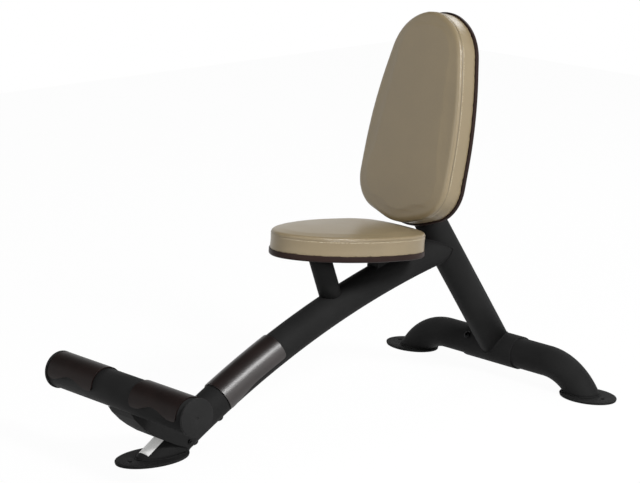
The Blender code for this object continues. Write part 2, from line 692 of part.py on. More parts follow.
def arm_bolts(tube, arm):
    """A cross bolt through the arm's cheeks and the tube, and two bolts up into the tube."""
    centre = main_arc(CROSS_BOLT_PLACE)[0]
    half = ARM_HALF_WIDTH + GAP
    seat = aim(centre + Vector((half, 0, 0)), (1, 0, 0))
    nut_height = 1.6 * CROSS_BOLT_RADIUS
    length = 2 * half + nut_height
    bolt("arm_cross_bolt", BLACK_STEEL, seat, CROSS_BOLT_RADIUS, length, head=CROSS_BOLT_HEAD)
    hole = bolt_hole("cross_hole", seat, CROSS_BOLT_RADIUS, length)
    cut(tube, hole)
    cut(arm, hole)
    inner = (CROSS_BOLT_RADIUS + GAP) / math.cos(math.pi / BOLT_SIDES)
    outer = 1.75 * CROSS_BOLT_RADIUS
    profile = [(inner, nut_height), (outer, nut_height), (outer, 0), (inner, 0)]
    nut_seat = aim(centre - Vector((half, 0, 0)), (-1, 0, 0))
    turned("arm_cross_nut", profile, BLACK_STEEL, nut_seat, steps=BOLT_SIDES)
    for name, along in zip(("lower", "upper"), ARM_BOLT_PLACES):
        centre, upward, _ = main_arc(along)
        seat = aim(centre - upward * (FRAME_TUBE / 2 + GAP), -upward)
        bolt(f"arm_bolt_{name}", BLACK_STEEL, seat, ARM_BOLT_RADIUS, ARM_BOLT_DEPTH, head=ARM_BOLT_HEAD,
             height=ARM_BOLT_HEAD_HEIGHT)
        cut(tube, bolt_hole(f"arm_bolt_hole_{name}", seat, ARM_BOLT_RADIUS, 2 * ARM_BOLT_DEPTH))


def seat_post(around_main):
    """The short tube that stands square on the main tube and carries the seat's front plate."""
    base, upward, _ = main_arc(POST_PLACE)
    hit = meets_plane(base, upward, SEAT_FRAME, 0)
    top = SEAT_FRAME.matrix_world @ hit + upward * TRIM
    post = piece("seat_post", rod_mesh([base, top], POST_TUBE / 2), PAINT)
    bore = cutter("post_bore", rod_mesh([base - upward * TRIM, top + upward * TRIM], POST_TUBE / 2 - POST_WALL))
    below = -(2 * GAP + SEAT_PLATE[2])
    above = cutter("above_seat_plate", block_mesh((-1, -1, below), (1, 1, 1)), parent=SEAT_FRAME)
    cut(post, bore, around_main, above)
    return hit.y


def flat_plate(name, size, middle, holes, parent, corner=0.008):
    """A rectangular mounting plate just under a pad's shell, given its middle and its bolt holes."""
    width, length, thickness = size
    drilled = [(x - middle[0], y - middle[1], PAD_BOLT_RADIUS + BOLT_CLEARANCE) for x, y in holes]
    mesh = sheet_mesh(rounded_rectangle(width, length, corner), thickness, drilled)
    at = Matrix.Translation((*middle, -GAP - thickness))
    return piece(name, mesh, PAINT, at, parent)


def seat_fittings(around_main, post_y):
    """The front plate on the post, the rear bracket on the main tube, and four bolts."""
    bracket_y = (SEAT_OFFSET - SEAT_BRACKET_OFFSET) / math.cos(SEAT_TILT)
    front = [(sign * SEAT_BOLT_SPREAD, post_y) for sign in (-1, 1)]
    rear = [(sign * SEAT_BOLT_SPREAD, bracket_y) for sign in (-1, 1)]
    flat_plate("seat_front_plate", SEAT_PLATE, (0, post_y), front, SEAT_FRAME)
    bracket = flat_plate("seat_rear_bracket", SEAT_BRACKET_PLATE, (0, bracket_y), rear, SEAT_FRAME)
    half = SEAT_BRACKET_STUB / 2
    top = -GAP - SEAT_BRACKET_PLATE[2] / 2
    stub = block_mesh((-half, bracket_y - half, top - FRAME_TUBE), (half, bracket_y + half, top))
    cut(bracket, cutter("bracket_stub", stub, parent=SEAT_FRAME), operation="UNION")
    cut(bracket, around_main)
    return front + rear


def upholstery(name, outline, shell_height, lip, wall, edge_radius, crown, holes, frame, plate_thickness):
    """Shell, board and cushion of one pad, in its own frame, with the bolts that hold it."""
    board_low = SHELL_WALL + GAP
    board_height = shell_height - board_low
    drilled = [(x, y, PAD_BOLT_RADIUS + BOLT_CLEARANCE) for x, y in holes]
    shell = piece(f"{name}_shell", shell_mesh(outline, shell_height, lip), TRIM_PLASTIC, parent=frame)
    made = shell.modifiers.new("wall", "SOLIDIFY")
    made.thickness = SHELL_WALL
    made.offset = -1
    made.use_even_offset = True
    board = inset(outline, max(SHELL_WALL - lip, 0) + SHELL_FILLET)
    at = Matrix.Translation((0, 0, board_low))
    piece(f"{name}_board", sheet_mesh(board, board_height, drilled), PLYWOOD, at, frame)
    cushion = cushion_mesh(outline, shell_height + GAP, wall, edge_radius, crown)
    piece(f"{name}_pad", cushion, VINYL, parent=frame)
    under = -(2 * GAP + plate_thickness)
    length = plate_thickness + 2 * GAP + board_low + 0.7 * board_height
    for k, (x, y) in enumerate(holes, 1):
        seat = aim((x, y, under), (0, 0, -1))
        bolt(f"{name}_bolt_{k}", ZINC, seat, PAD_BOLT_RADIUS, length, frame)
        cut(shell, bolt_hole(f"{name}_hole_{k}", seat, PAD_BOLT_RADIUS, length, frame))


def back_fittings(around_upright):
    """The plate on the upright's top end, its gusset, and the four bolt places."""
    top = meets_plane(place(0, CROSS_HEIGHT), upright_direction(), BACK_FRAME, 0)
    low = top.y - BACK_PLATE_DROP
    middle = (0, low + BACK_PLATE[1] / 2)
    holes = [(sign * BACK_BOLT_SPREAD, low + row) for row in BACK_BOLT_ROWS for sign in (-1, 1)]
    flat_plate("back_plate", BACK_PLATE, middle, holes, BACK_FRAME, BACK_PLATE_CORNER)
    behind = -(2 * GAP + BACK_PLATE[2])
    inverse = BACK_FRAME.matrix_world.to_3x3().inverted()
    down = inverse @ -upright_direction()
    back = Vector((0, -down.z, down.y))
    heel = Vector((0, top.y, behind)) + down * GUSSET_RUN + back * (FRAME_TUBE / 2)
    tip = (top.y + GUSSET_RISE, behind)
    root = (top.y, behind)
    outline = np.array([root, tip, (tip[0], behind - GUSSET_THICKNESS), (heel.y, heel.z)])
    mesh = sheet_mesh(outline[::-1], GUSSET_THICKNESS)
    mesh.transform(Matrix.Translation((0, 0, -GUSSET_THICKNESS / 2)))
    mesh.transform(Matrix(((0, 0, 1, 0), (1, 0, 0, 0), (0, 1, 0, 0), (0, 0, 0, 1))))
    gusset = piece("back_plate_gusset", mesh, PAINT, parent=BACK_FRAME)
    cut(gusset, around_upright)
    return holes


def build():
    feet()
    floor = floor_cutter()
    rear = place(0, CROSS_HEIGHT)
    reach = upright_length() + 2 * TRIM
    around_upright = envelope("around_upright", [rear, rear + upright_direction() * reach], FRAME_TUBE / 2)
    around_main = envelope("around_main", main_points(-2 * TRIM, main_arc_length()), FRAME_TUBE / 2)
    sleeve_ends = [rear + Vector((x, 0, 0)) for x in (SLEEVE_ENDS[0] - TRIM, SLEEVE_ENDS[1] + TRIM)]
    around_sleeve = envelope("around_sleeve", sleeve_ends, SLEEVE_RADIUS)
    bar_ends = [bar_point(-FOOT_BAR_HALF_LENGTH), bar_point(FOOT_BAR_HALF_LENGTH)]
    around_bar = envelope("around_bar", bar_ends, FOOT_BAR_TUBE / 2)
    behind = -(2 * GAP + BACK_PLATE[2])
    ahead_of_back = cutter("ahead_of_back", block_mesh((-1, -1, behind), (1, 1, 1)), parent=BACK_FRAME)
    tube = main_tube(floor, around_upright)
    rear_upright(around_sleeve, ahead_of_back)
    rear_cross(floor)
    foot_bar()
    bar_guards(around_bar)
    main_guard(around_main)
    arm = foot_bar_arm(around_main, around_bar, floor)
    arm_bolts(tube, arm)
    post_y = seat_post(around_main)
    holes = seat_fittings(around_main, post_y)
    seat = egg(SEAT_HALF_WIDTH, SEAT_NOSE, SEAT_TAIL, SEAT_NOSE_POWER, SEAT_TAIL_POWER)
    upholstery("seat", seat, SEAT_SHELL_HEIGHT, SEAT_SHELL_LIP, SEAT_WALL, SEAT_EDGE_RADIUS, SEAT_CROWN,
               holes, SEAT_FRAME, SEAT_PLATE[2])
    holes = back_fittings(around_upright)
    back = rounded_outline(BACK_FOOT, BACK_SIDE, BACK_TOP, BACK_OUTLINE_POINTS)
    upholstery("back", back, BACK_SHELL_HEIGHT, BACK_SHELL_LIP, BACK_WALL, BACK_EDGE_RADIUS, BACK_CROWN,
               holes, BACK_FRAME, BACK_PLATE[2])


PARTS, CUTTERS = clear_scene()
PAINT = material("powder_coat", "2A2B2C", 0.45)
GUARD = material("guard_plastic", "33241F", 0.25)
TRIM_PLASTIC = material("trim_plastic", "2E201E", 0.4)
VINYL = material("vinyl", "857860", 0.45)
PLYWOOD = material("plywood", "B08D5E", 0.7)
RUBBER = material("rubber", "1A1A1A", 0.85)
ZINC = material("zinc_steel", "A7A9AB", 0.35, 1.0)
BLACK_STEEL = material("black_steel", "232324", 0.4, 1.0)
SEAT_FRAME = empty("seat_frame", place(-SEAT_OFFSET, SEAT_HEIGHT), -SEAT_TILT)
BACK_FRAME = empty("back_frame", place(-BACK_OFFSET, BACK_HEIGHT), math.pi / 2 - BACK_LEAN)
build()
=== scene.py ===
"""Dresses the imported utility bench: smooth tubes with weld beads, stitched cushions, moulded guards,
fasteners, finishes, and a plain studio.

Lengths are in metres. X runs across the bench, -Y to its front and +Z up. Places along the bench are
measured from the rear cross tube's axis, REAR.
"""

import math

import bmesh
import bpy
import numpy as np
from mathutils import Matrix, Vector
from mathutils.bvhtree import BVHTree


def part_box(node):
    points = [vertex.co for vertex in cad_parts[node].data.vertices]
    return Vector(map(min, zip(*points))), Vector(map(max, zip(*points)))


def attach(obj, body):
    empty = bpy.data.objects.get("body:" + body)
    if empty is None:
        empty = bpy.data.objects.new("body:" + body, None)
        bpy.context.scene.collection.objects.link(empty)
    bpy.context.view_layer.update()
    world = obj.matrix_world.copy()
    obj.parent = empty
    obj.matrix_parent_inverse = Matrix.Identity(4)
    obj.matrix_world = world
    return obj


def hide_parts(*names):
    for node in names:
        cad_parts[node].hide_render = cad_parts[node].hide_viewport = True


bl_info = {
    "name": "Utility Bench",
    "version": (1, 0, 0),
    "blender": (4, 5, 0),
    "location": "View3D > Sidebar > Bench",
    "description": "Builds a utility bench's tubes, pads, guards and studio round a fixed frame",
    "category": "Add Mesh",
}

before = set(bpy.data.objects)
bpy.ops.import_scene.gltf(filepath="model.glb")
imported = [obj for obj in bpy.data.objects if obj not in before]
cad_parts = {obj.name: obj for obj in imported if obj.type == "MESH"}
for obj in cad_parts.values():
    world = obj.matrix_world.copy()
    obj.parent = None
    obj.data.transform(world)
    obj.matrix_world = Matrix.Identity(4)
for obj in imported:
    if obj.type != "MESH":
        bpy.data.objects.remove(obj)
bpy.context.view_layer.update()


def middle(node):
    low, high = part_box(node)
    return (low + high) / 2


REAR = middle("rear_cross_tube").y
GAP = 0.0003                   # between a surface and what covers or clasps it
SEAM_GAP = 0.0002              # left between a fitted tube's end and what it meets
PLATE_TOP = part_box("front_foot_plate")[1].z
CROSS_TUBE = 0.0804            # outer diameter
CROSS_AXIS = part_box("rear_cross_tube")[1].z - CROSS_TUBE / 2
UPRIGHT_ANGLE = math.radians(56.46)
MAIN_BEND_RADIUS = 2.48
SEAT_PLACE = (REAR - 0.5146, 0.4038)               # a pad frame's origin under its tray, in Y and Z
SEAT_TILT = math.radians(5.96)
JUNCTION_HEIGHT = SEAT_PLACE[1] - 0.0302           # where the main tube's axis meets the upright's
BACK_PLACE = (REAR - 0.3160, 0.4402)
BACK_LEAN = math.radians(13.88)
SEAT_EGG = (0.141, 0.2525, 0.166, 1.9, 3.3)        # half width, nose, tail, and the powers of the two
BACK_FOOT = (0.0, 0.0, 0.160)                      # corners: across, up, and rounding
BACK_SIDE = ((0.1619, 0.0493, 0.0926), (0.1603, 0.2884, 1.041), (0.1115, 0.5062, 0.129))
BACK_TOP = (0.0, 0.5583, 0.120)
SLEEVE_ENDS = (-0.0975, 0.088)                     # left and right of the middle plane
UNDER_PLATE = -0.0056                              # a gap below a pad's steel plate, in its frame

# Distances along the main tube's axis, from its foot
CROSS_BOLT_AT = 0.058
ARM_BOLTS_AT = {"lower": 0.089, "upper": 0.180}
COVER_START, COVER_LENGTH = 0.201, 0.199
SEAT_POST_AT = 0.6085

# How far a cushion's side lies inside its outline
TUCK = 0.0005                  # at the underside
BOW = 0.0012                   # half way up


# Sizes and colours

def length(name, description, default):
    return bpy.props.FloatProperty(name=name, description=description, default=default, min=0.0,
                                   precision=4, subtype="DISTANCE", unit="LENGTH")


def hex_colour(name, description, default):
    return bpy.props.StringProperty(name=name, description=description, default=default, maxlen=6)


class BenchSizes(bpy.types.PropertyGroup):
    frame_tube: length("Frame tube", "Outer diameter of the main tube and the upright", 0.0822)
    cross_tube: length("Cross tube", "Outer diameter of the rear cross tube", CROSS_TUBE)
    post_tube: length("Seat post", "Outer diameter of the seat post", 0.050)
    foot_bar_tube: length("Foot bar", "Outer diameter of the foot bar", 0.0855)
    tube_wall: length("Tube wall", "Wall thickness of the tubes", 0.003)
    weld_radius: length("Weld bead", "Radius of the weld beads", 0.0018)
    cap_diameter: length("Cap diameter", "Diameter of the foot bar's end caps", 0.0925)
    guard_wall: length("Guard wall", "Wall thickness of the moulded guards", 0.0029)
    seam_radius: length("Seam", "Radius of the ridge where two panels are sewn together", 0.0009)
    stitch_pitch: length("Stitch pitch", "Distance from one stitch to the next", 0.0055)
    grain: length("Vinyl grain", "Width of one cell of the vinyl's embossed grain", 0.0016)
    grit: length("Powder grit", "Width of one bump of the powder coat's texture", 0.0012)


class BenchColours(bpy.types.PropertyGroup):
    powder_coat: hex_colour("Powder coat", "Tubes, plates and arm", "242424")
    guard: hex_colour("Guards", "Moulded guards", "1C1311")
    trim: hex_colour("Pad shells", "Moulded trays under the pads", "2A1E1B")
    vinyl: hex_colour("Vinyl", "Cushion covers", "8C7D61")
    thread: hex_colour("Thread", "Stitches", "D2C8B2")
    rubber: hex_colour("Rubber", "Foot pads", "191919")
    label: hex_colour("Label", "Blank strip on the main tube", "E4E4E2")
    backdrop: hex_colour("Backdrop", "Floor and backdrop", "FFFFFF")


def sizes():
    return bpy.context.scene.bench_sizes


def colours():
    return bpy.context.scene.bench_colours


# Numbers and frames

def linear(code):
    """A hex sRGB colour as linear red, green, blue and alpha."""
    parts = [int(code[i:i + 2], 16) / 255 for i in (0, 2, 4)]
    return tuple(p / 12.92 if p <= 0.04045 else ((p + 0.055) / 1.055) ** 2.4 for p in parts) + (1.0,)


def unit(vectors):
    return vectors / np.linalg.norm(vectors, axis=-1, keepdims=True)


def circle(count):
    """Even angles once round, from zero."""
    return np.arange(count) * 2 * math.pi / count


RING = circle(96)


def tilted(place, turn):
    """The matrix of a frame at (y, z) that is turned about X."""
    return Matrix.Translation((0, *place)) @ Matrix.Rotation(turn, 4, "X")


def moved(points, matrix):
    """Points, an array whose last axis is x, y, z, taken through a matrix."""
    m = np.array(matrix)
    return points @ m[:3, :3].T + m[:3, 3]


def aimed(origin, outward):
    """The matrix that puts +Z along a direction, at a place."""
    turn = Vector(outward).to_track_quat("Z", "Y").to_matrix().to_4x4()
    return Matrix.Translation(Vector(origin)) @ turn


SEAT_FRAME = tilted(SEAT_PLACE, -SEAT_TILT)
BACK_FRAME = tilted(BACK_PLACE, math.pi / 2 - BACK_LEAN)


# Meshes from grids

def grid_faces(rows, columns, wrap_rows, wrap_columns):
    """Quads of a grid of points, optionally joined from its last row or column back to its first."""
    index = np.arange(rows * columns).reshape(rows, columns)
    if wrap_rows:
        index = np.vstack([index, index[:1]])
    if wrap_columns:
        index = np.hstack([index, index[:, :1]])
    quads = np.stack([index[:-1, :-1], index[:-1, 1:], index[1:, 1:], index[1:, :-1]], axis=-1)
    return quads.reshape(-1, 4)


def merge(work):
    bmesh.ops.remove_doubles(work, verts=work.verts, dist=1e-6)


def join_flat(work):
    bmesh.ops.dissolve_limit(work, angle_limit=math.radians(1), verts=work.verts, edges=work.edges)


def face_outwards(work):
    bmesh.ops.recalc_face_normals(work, faces=work.faces)


def reworked(mesh, *steps):
    """The mesh after one or more of the three steps above."""
    work = bmesh.new()
    work.from_mesh(mesh)
    for step in steps:
        step(work)
    work.to_mesh(mesh)
    work.free()
    return mesh


def rows_of(rows, key):
    """One property of a mesh's vertices or normals, as an array of x, y, z."""
    found = np.empty(len(rows) * 3, np.float32)
    rows.foreach_get(key, found)
    return found.reshape(-1, 3).astype(float)


def set_points(mesh, points):
    mesh.vertices.foreach_set("co", points.astype(np.float32).ravel())


def surface(name, points, wrap_rows=False, wrap_columns=True, flip=False):
    """A mesh from a grid of points (rows, columns, 3), with its doubled seams and poles merged."""
    rows, columns = points.shape[:2]
    quads = grid_faces(rows, columns, wrap_rows, wrap_columns)
    if flip:
        quads = quads[:, ::-1]
    mesh = bpy.data.meshes.new(name)
    mesh.vertices.add(rows * columns)
    set_points(mesh, points)
    mesh.loops.add(quads.size)
    mesh.loops.foreach_set("vertex_index", quads.astype(np.int32).ravel())
    mesh.polygons.add(len(quads))
    mesh.polygons.foreach_set("loop_start", np.arange(0, quads.size, 4, dtype=np.int32))
    mesh.update(calc_edges=True)
    mesh.validate()
    return reworked(mesh, merge)


def outward_surface(name, points, wrap_rows=False):
    """A grid's mesh whose faces all point outwards."""
    return reworked(surface(name, points, wrap_rows), face_outwards)


def give_finish(mesh, finish):
    """Makes one of the materials, by its key, the only one of a mesh."""
    mesh.materials.clear()
    mesh.materials.append(MATERIALS[finish])


def shown(mesh, finish, *nodes, slot="powder_coat", smooth=40):
    """Puts a mesh in the scene as a piece of the bench, in place of its solids."""
    made = bpy.data.objects.new(mesh.name, mesh)
    bpy.context.scene.collection.objects.link(made)
    give_finish(mesh, finish)
    mesh.shade_smooth()
    mesh.set_sharp_from_angle(angle=math.radians(smooth))
    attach(made, "root")
    if nodes:
        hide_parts(*nodes)
    return made


def modify(piece, name, kind, **settings):
    """Adds a modifier with its settings."""
    made = piece.modifiers.new(name, kind)
    for key, value in settings.items():
        setattr(made, key, value)


def finish_edges(piece, width, segments):
    """Rounds every edge sharper than 40 degrees."""
    modify(piece, "edges", "BEVEL", width=width, segments=segments, limit_method="ANGLE",
           angle_limit=math.radians(40), harden_normals=True)


def walled(piece, thickness, offset):
    """Gives a skin its wall: inwards for an offset of -1, outwards for 1, both ways for 0."""
    modify(piece, "wall", "SOLIDIFY", thickness=thickness, offset=offset, use_even_offset=True)


def dressed_copy(node, edge, segments=2):
    """A solid's own mesh, merged, with flat facets joined and its edges rounded."""
    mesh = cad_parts[node].data.copy()
    mesh.name = f"{node}_smooth"
    made = shown(reworked(mesh, merge, join_flat), "powder_coat", node, smooth=30)
    finish_edges(made, edge, segments)


# Curves that the tubes follow

ARC_FOOT = np.array([REAR - 1.124, PLATE_TOP])
ARC_TOP = np.array([REAR - (JUNCTION_HEIGHT - CROSS_AXIS) / math.tan(UPRIGHT_ANGLE), JUNCTION_HEIGHT])
ARC_CHORD = np.linalg.norm(ARC_TOP - ARC_FOOT)
MAIN_LENGTH = 2 * MAIN_BEND_RADIUS * math.asin(ARC_CHORD / 2 / MAIN_BEND_RADIUS)
UPRIGHT_WAY = np.array([0, -math.cos(UPRIGHT_ANGLE), math.sin(UPRIGHT_ANGLE)])
CROSS_STRAIGHT = 0.186         # half the length of the cross tube's level run
CROSS_BEND = 0.1606            # radius of its bends


def main_arc(distance):
    """Axis point, outward normal and tangent of the main tube's arc, a given distance from its foot.

    The arc is the circle of the bend radius through its foot on the front plate and its top on the
    upright's axis: centre + radius * (cos, sin) of an angle that falls with distance.
    """
    chord = ARC_TOP - ARC_FOOT
    up = np.array([-chord[1], chord[0]]) / ARC_CHORD
    centre = ARC_FOOT + chord / 2 - up * math.sqrt(MAIN_BEND_RADIUS ** 2 - (ARC_CHORD / 2) ** 2)
    start = math.atan2(ARC_FOOT[1] - centre[1], ARC_FOOT[0] - centre[0])
    angle = start - np.asarray(distance, float) / MAIN_BEND_RADIUS
    zero = np.zeros_like(angle)
    normal = np.stack([zero, np.cos(angle), np.sin(angle)], axis=-1)
    tangent = np.stack([zero, np.sin(angle), -np.cos(angle)], axis=-1)
    point = np.array([0, *centre]) + MAIN_BEND_RADIUS * normal
    return point, normal, tangent


def straight(origin, way, normal=None):
    """A straight path: origin + way * distance. In the middle plane its normal is a quarter turn from
    its way."""
    origin, way = np.asarray(origin, float), np.asarray(way, float)
    normal = np.array([0, -way[2], way[1]] if normal is None else normal, float)

    def path(distance):
        distance = np.asarray(distance, float)[..., None]
        zero = np.zeros_like(distance)
        return origin + way * distance, normal + zero, way + zero
    return path


def across(origin):
    """A straight path along X."""
    return straight(origin, (1, 0, 0), (0, 0, 1))


def cross_arch(distance):
    """The rear cross tube's path: level between two bends that turn down at a constant radius."""
    distance = np.asarray(distance, float)
    side = np.sign(distance)
    bend = np.clip(np.abs(distance) - CROSS_STRAIGHT, 0, None) / CROSS_BEND
    x = side * (np.minimum(np.abs(distance), CROSS_STRAIGHT) + CROSS_BEND * np.sin(bend))
    z = CROSS_AXIS - CROSS_BEND * (1 - np.cos(bend))
    normal = np.stack([side * np.sin(bend), 0 * bend, np.cos(bend)], axis=-1)
    tangent = np.stack([np.cos(bend), 0 * bend, -side * np.sin(bend)], axis=-1)
    return np.stack([x, REAR + 0 * x, z], axis=-1), normal, tangent


def on_tube(path, radius, distance, angle):
    """Surface points of a tube: axis + radius * (normal cos angle + side sin angle), and the outward way."""
    point, normal, tangent = path(distance)
    side = np.cross(tangent, normal)
    out = normal * np.cos(angle)[..., None] + side * np.sin(angle)[..., None]
    return point + radius * out, out


# Tests of which side of a neighbour a point lies on: above zero is clear of it

def above(height):
    """Height over a level."""
    return lambda p: p[..., 2] - height


def outside_line(origin, way, radius):
    """Distance from a straight tube's axis, less its radius."""
    origin, way = np.asarray(origin), np.asarray(way)

    def test(points):
        offset = points - origin
        along = (offset @ way)[..., None] * way
        return np.linalg.norm(offset - along, axis=-1) - radius
    return test


def outside_main(radius):
    """Distance from the main tube's arc, less its radius."""
    first, normal, _ = main_arc(0.0)
    centre = first - MAIN_BEND_RADIUS * normal

    def test(points):
        flat = np.hypot(points[..., 1] - centre[1], points[..., 2] - centre[2]) - MAIN_BEND_RADIUS
        return np.hypot(points[..., 0], flat) - radius
    return test


def behind_plane(matrix, height):
    """How far a point lies below a height in a tilted frame."""
    m = np.array(matrix)
    return lambda p: height - (p - m[:3, 3]) @ m[:3, 2]


def end_line(path, radius, clear, cut, test):
    """For each angle, the distance along a tube at which its surface line enters its neighbour.

    Found by halving, forty times, between a distance that is clear and one that is cut.
    """
    low, high = np.full_like(RING, clear), np.full_like(RING, cut)
    for _ in range(40):
        half = (low + high) / 2
        free = test(on_tube(path, radius, half, RING)[0]) > 0
        low, high = np.where(free, half, low), np.where(free, high, half)
    return low


def tube(name, path, radius, start, end, steps, node):
    """A tube's skin between two end lines, each an array of distances, one for each angle round it."""
    distance = start + (end - start) * np.linspace(0, 1, steps)[:, None]
    points = on_tube(path, radius, distance, np.broadcast_to(RING, distance.shape))[0]
    made = shown(outward_surface(name, points), "powder_coat", node)
    walled(made, sizes().tube_wall, -1)


def cord(name, line, ways, radius, around, finish, slot="powder_coat"):
    """A closed ring of round sections: line + radius * (way * cos angle + side * sin angle)."""
    tangent = unit(np.roll(line, -1, axis=0) - np.roll(line, 1, axis=0))
    side = unit(np.cross(tangent, ways))
    turn = circle(around)[:, None]
    offset = ways[:, None] * np.cos(turn) + side[:, None] * np.sin(turn)
    sections = line[:, None] + offset * np.broadcast_to(radius, len(line))[:, None, None]
    shown(outward_surface(name, sections, wrap_rows=True), finish, slot=slot)


def bead(name, path, radius, distance, lift=0.0):
    """A weld bead along a tube's end line, as a cord that swells with each ripple.

    Section radius = bead radius * (1 + 0.10 * cos(2 pi * distance / ripple)).
    """
    step, ripple = 0.0011, 0.0046
    line, out = on_tube(path, radius, distance, RING)
    line = line + (0, 0, lift)
    run = closed_run(line)
    count = max(24, int(run[-1] / step))
    ripples = max(8, round(run[-1] / ripple))
    phase = 2 * math.pi * ripples * np.linspace(0, run[-1], count, endpoint=False) / run[-1]
    size = sizes().weld_radius * (1 + 0.10 * np.cos(phase))
    cord(name, even(line, count), unit(even(out, count, run)), size, 12, "powder_coat")


# Turned pieces and bolts

def turned(name, profile, matrix, finish, node, slot="powder_coat", around=96, smooth=40):
    """A profile of (radius, height) turned about +Z: x = r cos a, y = r sin a, z = height."""
    profile, angle = np.array(profile, float), circle(around)
    points = np.stack([profile[:, :1] * np.cos(angle), profile[:, :1] * np.sin(angle),
                       np.broadcast_to(profile[:, 1:], (len(profile), around))], axis=-1)
    shown(outward_surface(name, moved(points, matrix)), finish, node, slot=slot, smooth=smooth)


def arc_points(centre, radius, start, end, count):
    """An arc of a profile, between two angles in degrees: centre + radius * (cos, sin)."""
    angles = np.radians(np.linspace(start, end, count))
    return [(centre[0] + radius * math.cos(a), centre[1] + radius * math.sin(a)) for a in angles]


def button_bolt(name, matrix, radius, long, finish, node, slot, head=1.9, high=None):
    """A button head with a hexagon socket, on a shank; head, like the socket, is a share of its radius.

    Rows are rings of one radius each, apart from the socket's, whose radius is that of a hexagon:
    flat / cos(angle from the nearest flat). The dome is a quarter ellipse.
    """
    angle = circle(48)
    hexagon = 1 / np.cos((angle + math.pi / 6) % (math.pi / 3) - math.pi / 6)
    head, high = head * radius, high or 1.1 * radius
    socket = 0.72 * radius * hexagon
    rows = [(0, high - 0.8 * radius), (socket * 0.98, high - 0.8 * radius),
            (socket, high - 0.78 * radius), (socket, high - 0.03 * radius), (socket * 1.06, high)]
    for a in np.linspace(0.15, 1.0, 6) * math.pi / 2:
        rows.append((head * (0.52 + 0.48 * math.sin(a)), high * (0.22 + 0.78 * math.cos(a))))
    rows += [(head, 0.06 * high), (0.97 * head, 0), (radius, 0), (radius, -long), (0, -long)]
    points = np.stack([np.stack([r * np.cos(angle), r * np.sin(angle), z + 0 * angle], axis=-1)
                       for r, z in rows])
    shown(outward_surface(name, moved(points, matrix)), finish, node, slot=slot, smooth=35)


# Outlines

def egg(half_width, nose, tail, nose_power, tail_power, count=240):
    """Two half superellipses that share their widest line, evenly spaced along their length.

    x = w * sign(cos t) |cos t|^(2/p), y = l * sign(sin t) |sin t|^(2/p).
    """
    angle = np.linspace(0, 2 * math.pi, 4001)[:-1] + 1e-4
    power = np.where(np.sin(angle) > 0, tail_power, nose_power)
    x, y = (np.sign(wave) * np.abs(wave) ** (2 / power) for wave in (np.cos(angle), np.sin(angle)))
    return even(np.stack([half_width * x, np.where(y > 0, tail, nose) * y], axis=1), count)


def rounded_outline(foot, side, top, count=240):
    """Corner arcs joined by straight lines, alike on both sides and evenly spaced.

    Each arc's centre lies on the corner's bisector, its radius / sin(half the corner) away, and the arc
    spans 180 degrees less the corner.
    """
    corners = np.array([foot, *side, top, *[(-x, y, radius) for x, y, radius in reversed(side)]])
    place, radius = corners[:, :2], corners[:, 2]
    back, ahead = unit(np.roll(place, 1, axis=0) - place), unit(np.roll(place, -1, axis=0) - place)
    half = np.arccos(np.clip((back * ahead).sum(axis=1), -1, 1)) / 2
    inwards = unit(back + ahead)
    centre = place + inwards * (radius / np.sin(half))[:, None]
    middle_way = np.arctan2(-inwards[:, 1], -inwards[:, 0])
    angles = middle_way[:, None] + (math.pi / 2 - half)[:, None] * np.linspace(-1, 1, 60)
    arcs = centre[:, None] + radius[:, None, None] * np.stack([np.cos(angles), np.sin(angles)], axis=-1)
    return even(arcs.reshape(-1, 2), count)


def closed_run(line):
    """The distance along a closed line at each of its points, and at the first again."""
    closed = np.vstack([line, line[:1]])
    return np.concatenate([[0], np.cumsum(np.linalg.norm(np.diff(closed, axis=0), axis=1))])


def even(points, count, run=None):
    """A closed line's points at even steps along it, or along the run of another line."""
    closed = np.vstack([points, points[:1]])
    run = closed_run(points) if run is None else run
    at = np.linspace(0, run[-1], count, endpoint=False)
    return np.stack([np.interp(at, run, closed[:, k]) for k in range(points.shape[1])], axis=1)


def side_ways(outline):
    """The outward way at each point of a closed outline."""
    tangent = np.roll(outline, -1, axis=0) - np.roll(outline, 1, axis=0)
    return unit(np.stack([tangent[:, 1], -tangent[:, 0]], axis=1))


def inset(outline, distance):
    """The outline moved inwards along its normals."""
    return outline - distance * side_ways(outline)


def rolled_in(outline, radius, height, count):
    """Rings of a quarter round that turns from an upright side into the top."""
    return [layer(inset(outline, radius * (1 - math.cos(a))), height + radius * math.sin(a))
            for a in np.linspace(0, math.pi / 2, count)]


def rolled_out(outline, radius, count):
    """Rings of a quarter round that turns from the underside, at zero height, into an upright side."""
    return [layer(inset(outline, radius * (1 - math.sin(a))), radius * (1 - math.cos(a)))
            for a in np.linspace(0, math.pi / 2, count)]


def shrunk(line, centre, shares, height):
    """Level copies of a line, drawn in towards a centre to shares of its size."""
    return [layer(centre + (line - centre) * s, height) for s in shares]


def layer(outline, height):
    """A flat line as points in space, all at one height."""
    return np.column_stack([outline, np.full(len(outline), height)])


# Cushions

def pad_rings(outline, base, wall, edge, crown):
    """Rings of a pad from under its rim, up its side, over a rolled edge and across a crowned face.

    The side bows in by a sine of its height; the roll is a quarter circle; the face is the roll's line
    shrunk towards its middle, raised by crown * (1 - share^2.2).
    """
    under = inset(outline, 0.030)
    rings = [layer(under, base), layer(inset(outline, TUCK), base)]
    for s in np.linspace(0.06, 1, 9):
        rings.append(layer(inset(outline, BOW * math.sin(math.pi * s)), base + wall * s))
    rings += rolled_in(outline, edge, base + wall, 9)[1:]
    face = inset(outline, edge)
    centre = (face.max(axis=0) + face.min(axis=0)) / 2
    for s in np.linspace(1, 0, 14)[1:]:
        rings.append(layer(centre + (face - centre) * s, base + wall + edge + crown * (1 - s ** 2.2)))
    return np.stack(shrunk(under, centre, (0.0, 0.3, 0.6, 0.85), base) + rings)


